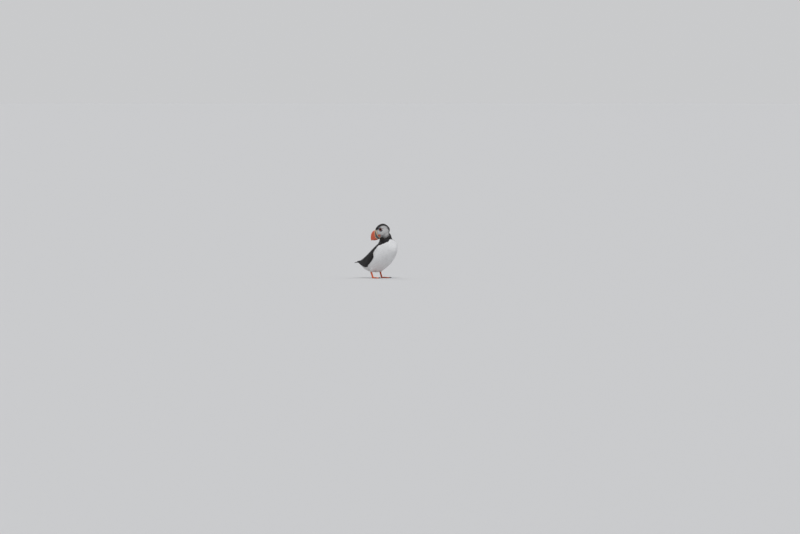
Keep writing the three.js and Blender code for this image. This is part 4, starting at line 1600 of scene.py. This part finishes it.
def quillFrom(name, path, outward, breadth, number, lean, stack=0.0, roundFrom=0.6):
    # one long feather along a path: closed and thin, and one edge lies higher
    along = quillSteps()
    tangent = unit(np.gradient(path, axis=0))
    outward = unit(outward - tangent * np.sum(outward * tangent, axis=1, keepdims=True))
    across = np.cross(tangent, outward)
    rounded = np.maximum(0, (along - roundFrom) / (1 - roundFrom)) ** 2.6
    full = np.minimum(1, 0.35 + along * 3.2) * np.sqrt(np.maximum(0.015, 1 - rounded))
    columns = np.array(quillShape["columns"])
    rings = []
    for row, part in enumerate(along):
        width = breadth / 1000 * full[row]
        rise = stack / 1000 * (0.5 - columns) * min(1, part * 3)
        rise = rise - 0.035 * width * (columns / 0.5) ** 2
        rise[0] -= 0.10 / 1000
        under = rise - quillShape["thick"] / 1000
        around = [*zip(columns, rise), *list(zip(columns, under))[3:0:-1]]
        rings.append([path[row] + across[row] * width * c * lean + outward[row] * z for c, z in around])
    piece = ringShell(name, np.array(rings))
    mapQuill(piece.data, path, across * lean, breadth, number)
    return piece


def mapQuill(mesh, path, across, breadth, number):
    # where each place lies on the feather, and a tone of its own
    places = placesOf(mesh)
    near = np.argmin(np.linalg.norm(places[:, None] - path[None], axis=2), axis=1)
    aside = np.sum((places - path[near]) * across[near], axis=1) / (breadth / 1000) * 0.95 + 0.42
    corners = np.zeros(len(mesh.loops), np.int32)
    mesh.loops.foreach_get("vertex_index", corners)
    flat = np.column_stack([np.clip(aside, 0, 1), quillSteps()[near]])[corners]
    patches = quillShape["patches"]
    patch = (flat * (0.9, 0.94) + (number % patches[0], number // patches[0])) / patches
    for label, values in (("vane", flat), ("OFBake", patch)):
        layer = mesh.uv_layers.new(name=label)
        layer.uv.foreach_set("vector", np.asarray(values, np.float32).ravel())
    storeValues(mesh, "tone", np.full(len(places), (number * 0.618) % 1))
    # on a quill this is only the feather's own dusky tone, with no painted shade
    storeValues(mesh, "dusk", np.full(len(places), 0.15 + 0.5 * ((number * 0.37) % 1)))


def besideSkin(surface, line, side):
    # the line (forward, up) laid on the bird's flank; beyond the skin it runs straight on
    places = fromBody(np.column_stack([line[:, 0], np.full(len(line), 90.0 * side), line[:, 1]]))
    normals, found = np.zeros_like(places), []
    for k, start in enumerate(places):
        hit, normal, _, _ = surface.ray_cast(Vector(start), Vector((-side, 0, 0)))
        onSkin = hit is not None and line[k, 0] > quillShape["lastSupport"]
        if onSkin and (hit.x - midPlane) * side > 0.006 and abs(normal.x) > 0.36:
            places[k], normals[k] = hit, normal
            found.append(k)
    found = np.array(found)
    length = np.concatenate([[0], np.cumsum(np.linalg.norm(np.diff(line, axis=0), axis=1))])
    aside = np.interp(length, length[found], places[found, 0])
    last = found[-6:]
    beyond = length > length[found[-1]]
    aside[beyond] = np.polyval(np.polyfit(length[last], places[last, 0], 1), length[beyond])
    nearest = np.abs(length[:, None] - length[found][None]).argmin(1)
    chain = np.column_stack([np.arange(len(line) - 1), np.arange(1, len(line))])
    places[:, 0] = averaged(aside[:, None], chain, 3)[:, 0]
    return places, unit(averaged(normals[found[nearest]], chain, 8))


def makeWing(sideName, side, surface):
    chance = np.random.default_rng(quillShape["seed"])
    pieces = []
    along = quillSteps()
    for row in quillRows.values():
        count = row["count"]
        roots, tips = curveThrough(row["roots"], count), curveThrough(row["tips"], count)
        low, high = row["heights"]
        for i in range(count):
            root = roots[i] + chance.uniform(-0.6, 0.6, 2)
            span = tips[i] - root
            tip = root + span * chance.uniform(0.965, 1.03)
            downwards = np.array([-span[1], span[0]]) / np.linalg.norm(span)
            middle = (root + tip) / 2 + downwards * row["sag"] * (1 - 0.7 * i / count)
            even = curveThrough([root, middle, tip], 60)
            line = np.column_stack([np.interp(along, np.linspace(0, 1, 60), even[:, k]) for k in (0, 1)])
            places, normals = besideSkin(surface, line, side)
            height = low + (high - low) * along
            height = height * (1 - 0.6 * (i / count) ** 2) + chance.uniform(-0.05, 0.05)
            path = places + normals * height[:, None] / 1000
            pieces.append(quillFrom("quill", path, normals, row["breadth"], len(pieces), -side, row["stack"]))
    return joinedPieces("wingQuills" + sideName.title(), pieces)


def makeTail():
    # a fan, its outer feathers below and its middle ones on top
    settings = tailSettings
    last = settings["count"] - 1
    along = quillSteps()
    pieces = []
    order = sorted(range(settings["count"]), key=lambda i: -abs(i - last / 2))
    for layer, i in enumerate(order):
        aside = (i / last - 0.5) * 2
        left = aside * settings["halfWidth"] * (0.32 + 0.52 * along)
        back = settings["length"] * along * (1 - 0.10 * aside**2)
        up = settings["rootUp"] - 0.04 * back - 0.006 * left**2 + (0.10 * layer - 0.7)
        path = fromBody(np.column_stack([settings["rootForward"] - back, left, up]))
        outward = np.column_stack([0.012 * left, 0 * left, np.ones_like(left)])
        lean = -1.0 if aside > 0 else 1.0
        piece = quillFrom(
            "tailQuill", path, outward, settings["breadth"], layer, lean, roundFrom=settings["roundFrom"]
        )
        pieces.append(piece)
    return joinedPieces("tailQuills", pieces)


# legs, feet and claws
footSettings = {
    "forward": 1.5,
    "spread": 25.5,
    "turn": {"left": 6.0, "right": -8.0},
    "toes": [(27.0, -24.0), (35.0, 2.0), (33.0, 26.0)],  # length and turn outwards
    "clawRoot": -1.8,
    "clawEnd": 5.7,
    "clawHeights": (0.0017, 0.0003),  # metres over the floor at root and tip
    "clawCrest": 0.0027,  # and over the middle of the two
    "clawHalf": 1.62,
}


def toeLines(sideName, side):
    # each toe's start, heading over the floor and length
    settings = footSettings
    ball = fromBody([(settings["forward"], side * settings["spread"], 0)])[0]
    for length, turn in settings["toes"]:
        heading = math.radians(side * turn + settings["turn"][sideName])
        ahead = np.array([math.sin(heading), -math.cos(heading), 0])
        yield ball, ahead, length


def makeClaws(sideName, side):
    settings = footSettings
    turns = turnsAround(14)[:, None]
    pieces = []
    for ball, ahead, length in toeLines(sideName, side):
        root = ball + ahead * (length + settings["clawRoot"]) / 1000
        end = ball + ahead * (length + settings["clawEnd"]) / 1000
        root[2], end[2] = settings["clawHeights"]
        crest = (root + end) / 2 + (0, 0, settings["clawCrest"])
        aside = np.cross(ahead, (0, 0, 1.0))
        rings = []
        for t in np.linspace(0, 1, 14):
            middle = root * (1 - t) ** 2 + 2 * crest * t * (1 - t) + end * t**2
            tangent = unit(2 * (crest - root) * (1 - t) + 2 * (end - crest) * t)
            above = np.cross(aside, tangent)
            size = settings["clawHalf"] * (1 - t) ** 0.72 * min(1, 0.55 + 3 * t) + 0.05
            ring = middle + (aside * np.cos(turns) * 0.86 + above * np.sin(turns)) * size / 1000
            ring[:, 2] = np.maximum(ring[:, 2], 0.00005)
            rings.append(ring)
        pieces.append(ringShell("claw", np.array(rings)))
    return joinedPieces("claws" + sideName.title(), pieces)


def clawMaterial():
    material, tree, shader = newMaterial("clawHorn", {"Coat Weight": 0.2, "Coat Roughness": 0.2})
    place = addNode(tree, "ShaderNodeSeparateXYZ", {0: objectPlace(tree)}).outputs
    along = maths(tree, "MULTIPLY", place["Y"], 1000.0)
    horn = placed(tree, "horn", {"Along": along, "Place": objectPlace(tree), "Lines": 1.4})
    colour = blended(tree, horn["Cloud"], (0.010, 0.009, 0.009), (0.045, 0.038, 0.034))
    colour = blended(tree, maths(tree, "MULTIPLY", horn["Wear"], 0.4), colour, (0.16, 0.14, 0.12))
    feed(tree, shader.inputs["Base Color"], colour)
    feed(tree, shader.inputs["Roughness"], maths(tree, "MULTIPLY_ADD", horn["Wear"], 0.3, 0.26))
    bumped(tree, shader, horn["Lines height"], 0.0001, 0.6)
    return material


legColours = {
    "skin": ((0.80, 0.150, 0.030), (0.62, 0.080, 0.018)),
    "web": (0.80, 0.22, 0.05),
    # the groove colour is painted shade in the grooves between scales and between plates
    "groove": (0.30, 0.030, 0.010),
    "depth": (0.0015, 0.0006, 0.0003),  # how far light goes in, in metres
}


def legMaterial():
    colours = legColours
    plain = {"Subsurface Weight": 0.06, "Subsurface Radius": colours["depth"], "Specular IOR Level": 0.4}
    material, tree, shader = newMaterial("legSkin", plain)
    place = objectPlace(tree)
    stretched = addNode(tree, "ShaderNodeMapping", {"Vector": place, "Scale": (0.8, 0.8, 1.15)}).outputs[0]
    scales = placed(tree, "scales", {"Place": stretched, "Size": 850.0})
    mottle = placed(tree, "mottle", {"Place": place, "Broad": 160.0, "Fine": 2200.0})
    web = attributeOf(tree, "web")["Fac"]
    scute = attributeOf(tree, "scute")["Fac"]
    colour = blended(tree, mottle["Broad tone"], *colours["skin"])
    colour = blended(tree, maths(tree, "MULTIPLY", web, 0.6), colour, colours["web"])
    # painted shade: the grooves between the small scales and between the shank's and toes' plates are
    # coloured darker
    groove = maths(tree, "MAXIMUM", maths(tree, "MULTIPLY", scales["GrooveShade"], 0.55), scute)
    colour = blended(tree, maths(tree, "MULTIPLY", groove, 0.55), colour, colours["groove"])
    feed(tree, shader.inputs["Base Color"], colour)
    feed(tree, shader.inputs["Roughness"], maths(tree, "MULTIPLY_ADD", mottle["Fine tone"], 0.3, 0.33))
    height = maths(tree, "SUBTRACT", scales["Height"], maths(tree, "MULTIPLY", scute, 1.2))
    bumped(tree, shader, height, 0.00016, 0.8)
    return material


def betweenPlates(reach, pitch):
    # 1 in the grooves between the plates
    edge = np.abs(np.mod(reach + pitch / 2, pitch) / pitch - 0.5) * 2
    return smoothStep(0.24, 0.04, edge)


def finishSkin(skin):
    # bare legs and feet have their own finish on the same skin
    mesh = skin.data
    places = placesOf(mesh)
    height = places[:, 2] * 1000
    scute, web = np.zeros(len(places)), np.zeros(len(places))
    for sideName, side in sides:
        nearToe = np.zeros(len(places))
        for ball, ahead, _ in toeLines(sideName, side):
            reach, away = alongToe(places, ball, ahead)
            onToe = smoothStep(2.6, 1.6, away) * (reach > 3) * (height < 7)
            nearToe = np.maximum(nearToe, onToe)
            scute = np.maximum(scute, onToe * betweenPlates(reach, skinSettings["toePitch"]))
        here = (height < 5) & ((places[:, 0] - midPlane) * side > 0)
        web = np.where(here, (1 - nearToe) * smoothStep(4.0, 2.5, height), web)
    shank = smoothStep(6, 8, height) * smoothStep(30, 28, height)
    shank = shank * smoothStep(0.0, 0.5, -normalsOf(mesh)[:, 1])
    scute = np.maximum(scute, shank * betweenPlates(height, skinSettings["shankPitch"]))
    storeValues(mesh, "scute", scute)
    storeValues(mesh, "web", web)
    mesh.materials.clear()
    mesh.materials.append(skinMaterial())
    mesh.materials.append(legMaterial())
    middles = np.zeros(len(mesh.polygons) * 3, np.float32)
    mesh.polygons.foreach_get("center", middles)
    index = bareLeg(middles.reshape(-1, 3)).astype(np.int32)
    mesh.polygons.foreach_set("material_index", index)
    mesh.update()
    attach(skin, "root")
    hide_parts(*skinSettings["flesh"], "leg_left", "leg_right", "foot_left", "foot_right")


# floor, light and camera
stageSettings = {
    "azimuth": -50.0,  # degrees, where the camera stands round the bird
    "elevation": 1.5,
    "distance": 25.0,
    "lens": 300.0,
    "aimRight": 0.0893,  # metres from between the feet to the middle of the view
    "aimUp": 0.0416,
    "floorRings": (0.4, 2.0, 10.0, 60.0, 400.0),  # radii in metres
    "floor": ((0.585, 0.585, 0.59), (0.60, 0.60, 0.605)),
    "sky": (0.95, 0.97, 1.0),
    "skyStrength": 0.44,
    "backdrop": (0.586, 0.591, 0.600),  # what the camera sees behind the bird
    "lights": {
        # strength, spread in degrees, and where it comes from
        "softKey": (1.50, 26, (-0.80, -0.62, 1.60)),
        "softFill": (0.35, 60, (0.8, -0.9, 0.9)),
        "softBack": (0.50, 50, (0.3, 1.0, 0.9)),
    },
}


def pointedAt(thing, target):
    thing.rotation_mode = "QUATERNION"
    thing.rotation_quaternion = (Vector(target) - thing.location).to_track_quat("-Z", "Y")


def makeCamera():
    settings = stageSettings
    turn, rise = math.radians(settings["azimuth"]), math.radians(settings["elevation"])
    away = Vector((math.sin(turn) * math.cos(rise), -math.cos(turn) * math.cos(rise), math.sin(rise)))
    feet = (middleOf("leg_left") + middleOf("leg_right")) / 2
    middle = Vector((feet[0], feet[1], 0))
    right = Vector((math.cos(turn), math.sin(turn), 0))
    upwards = away.cross(right)
    target = middle + right * settings["aimRight"] + upwards * settings["aimUp"]
    camera = linked("camera", bpy.data.cameras.new("camera"))
    camera.data.lens = settings["lens"]
    camera.data.sensor_width = 36
    camera.data.clip_start, camera.data.clip_end = 0.5, 1500
    camera.location = target + away * settings["distance"]
    pointedAt(camera, target)
    bpy.context.scene.camera = camera


def makeFloor():
    settings = stageSettings
    count = 48
    turns = turnsAround(count)
    vertices = [(0, 0, 0)]
    for radius in settings["floorRings"]:
        vertices += [(radius * math.cos(turn), radius * math.sin(turn), 0) for turn in turns]
    faces = [(0, 1 + i, 1 + (i + 1) % count) for i in range(count)]
    for face in betweenRings(len(settings["floorRings"]), count):
        faces.append([1 + corner for corner in face[::-1]])
    floor = newPiece("floor", vertices, faces)
    material, tree, shader = newMaterial("paleFloor", {"Roughness": 0.9, "Specular IOR Level": 0.2})
    mottle = placed(tree, "mottle", {"Place": objectPlace(tree), "Broad": 3.0, "Fine": 90.0})
    feed(tree, shader.inputs["Base Color"], blended(tree, mottle["Fine tone"], *settings["floor"]))
    floor.data.materials.append(material)


def makeRoom():
    # the sky lights the bird, and the camera sees a plain backdrop
    settings = stageSettings
    world = bpy.data.worlds.new("paleRoom")
    world.use_nodes = True
    nodes, links = world.node_tree.nodes, world.node_tree.links
    nodes["Background"].inputs["Color"].default_value = (*settings["sky"], 1)
    nodes["Background"].inputs["Strength"].default_value = settings["skyStrength"]
    seen = nodes.new("ShaderNodeBackground")
    seen.inputs["Color"].default_value = (*settings["backdrop"], 1)
    choose = nodes.new("ShaderNodeMixShader")
    links.new(nodes.new("ShaderNodeLightPath").outputs["Is Camera Ray"], choose.inputs[0])
    links.new(nodes["Background"].outputs[0], choose.inputs[1])
    links.new(seen.outputs[0], choose.inputs[2])
    links.new(choose.outputs[0], nodes["World Output"].inputs["Surface"])
    bpy.context.scene.world = world


def makeLights():
    for name, (strength, spread, source) in stageSettings["lights"].items():
        light = linked(name, bpy.data.lights.new(name, "SUN"))
        light.data.energy = strength
        light.data.angle = math.radians(spread)
        light.location = Vector(source) * 2
        pointedAt(light, (0, 0, 0))


# the whole bird
makeCamera()
makeFloor()
makeRoom()
makeLights()
bpy.context.scene.view_settings.view_transform = "Standard"
print("stage made")

skin = makeSkin()
for sideName, side in sides:
    united(skin, legShape(sideName, side))
unwrapped(skin, "skinPlace")
layCoat(skin)
print("skin made,", len(skin.data.polygons), "faces")

clawFinish = clawMaterial()
quillFinish = plumageMaterial("quillPlumage", plumageColours["black"], barbSettings["quill"])
growTree = plumageTree()
vanes = {kind: vaneCollection(kind) for kind in ("soft", "firm")}
for name in coatPieces:
    growPlumage(name, skin, growTree, vanes)

finishSkin(skin)
surface = surfaceOf(skin.data)
makeFace(surface)
makeBill()
print("face and bill made")

for sideName, side in sides:
    wing = makeWing(sideName, side, surface)
    finished(wing, quillFinish, "black_feathers")
    finished(makeClaws(sideName, side), clawFinish, "claw_horn")
finished(makeTail(), quillFinish, "black_feathers", "tail")
print("wings, tail and claws made")
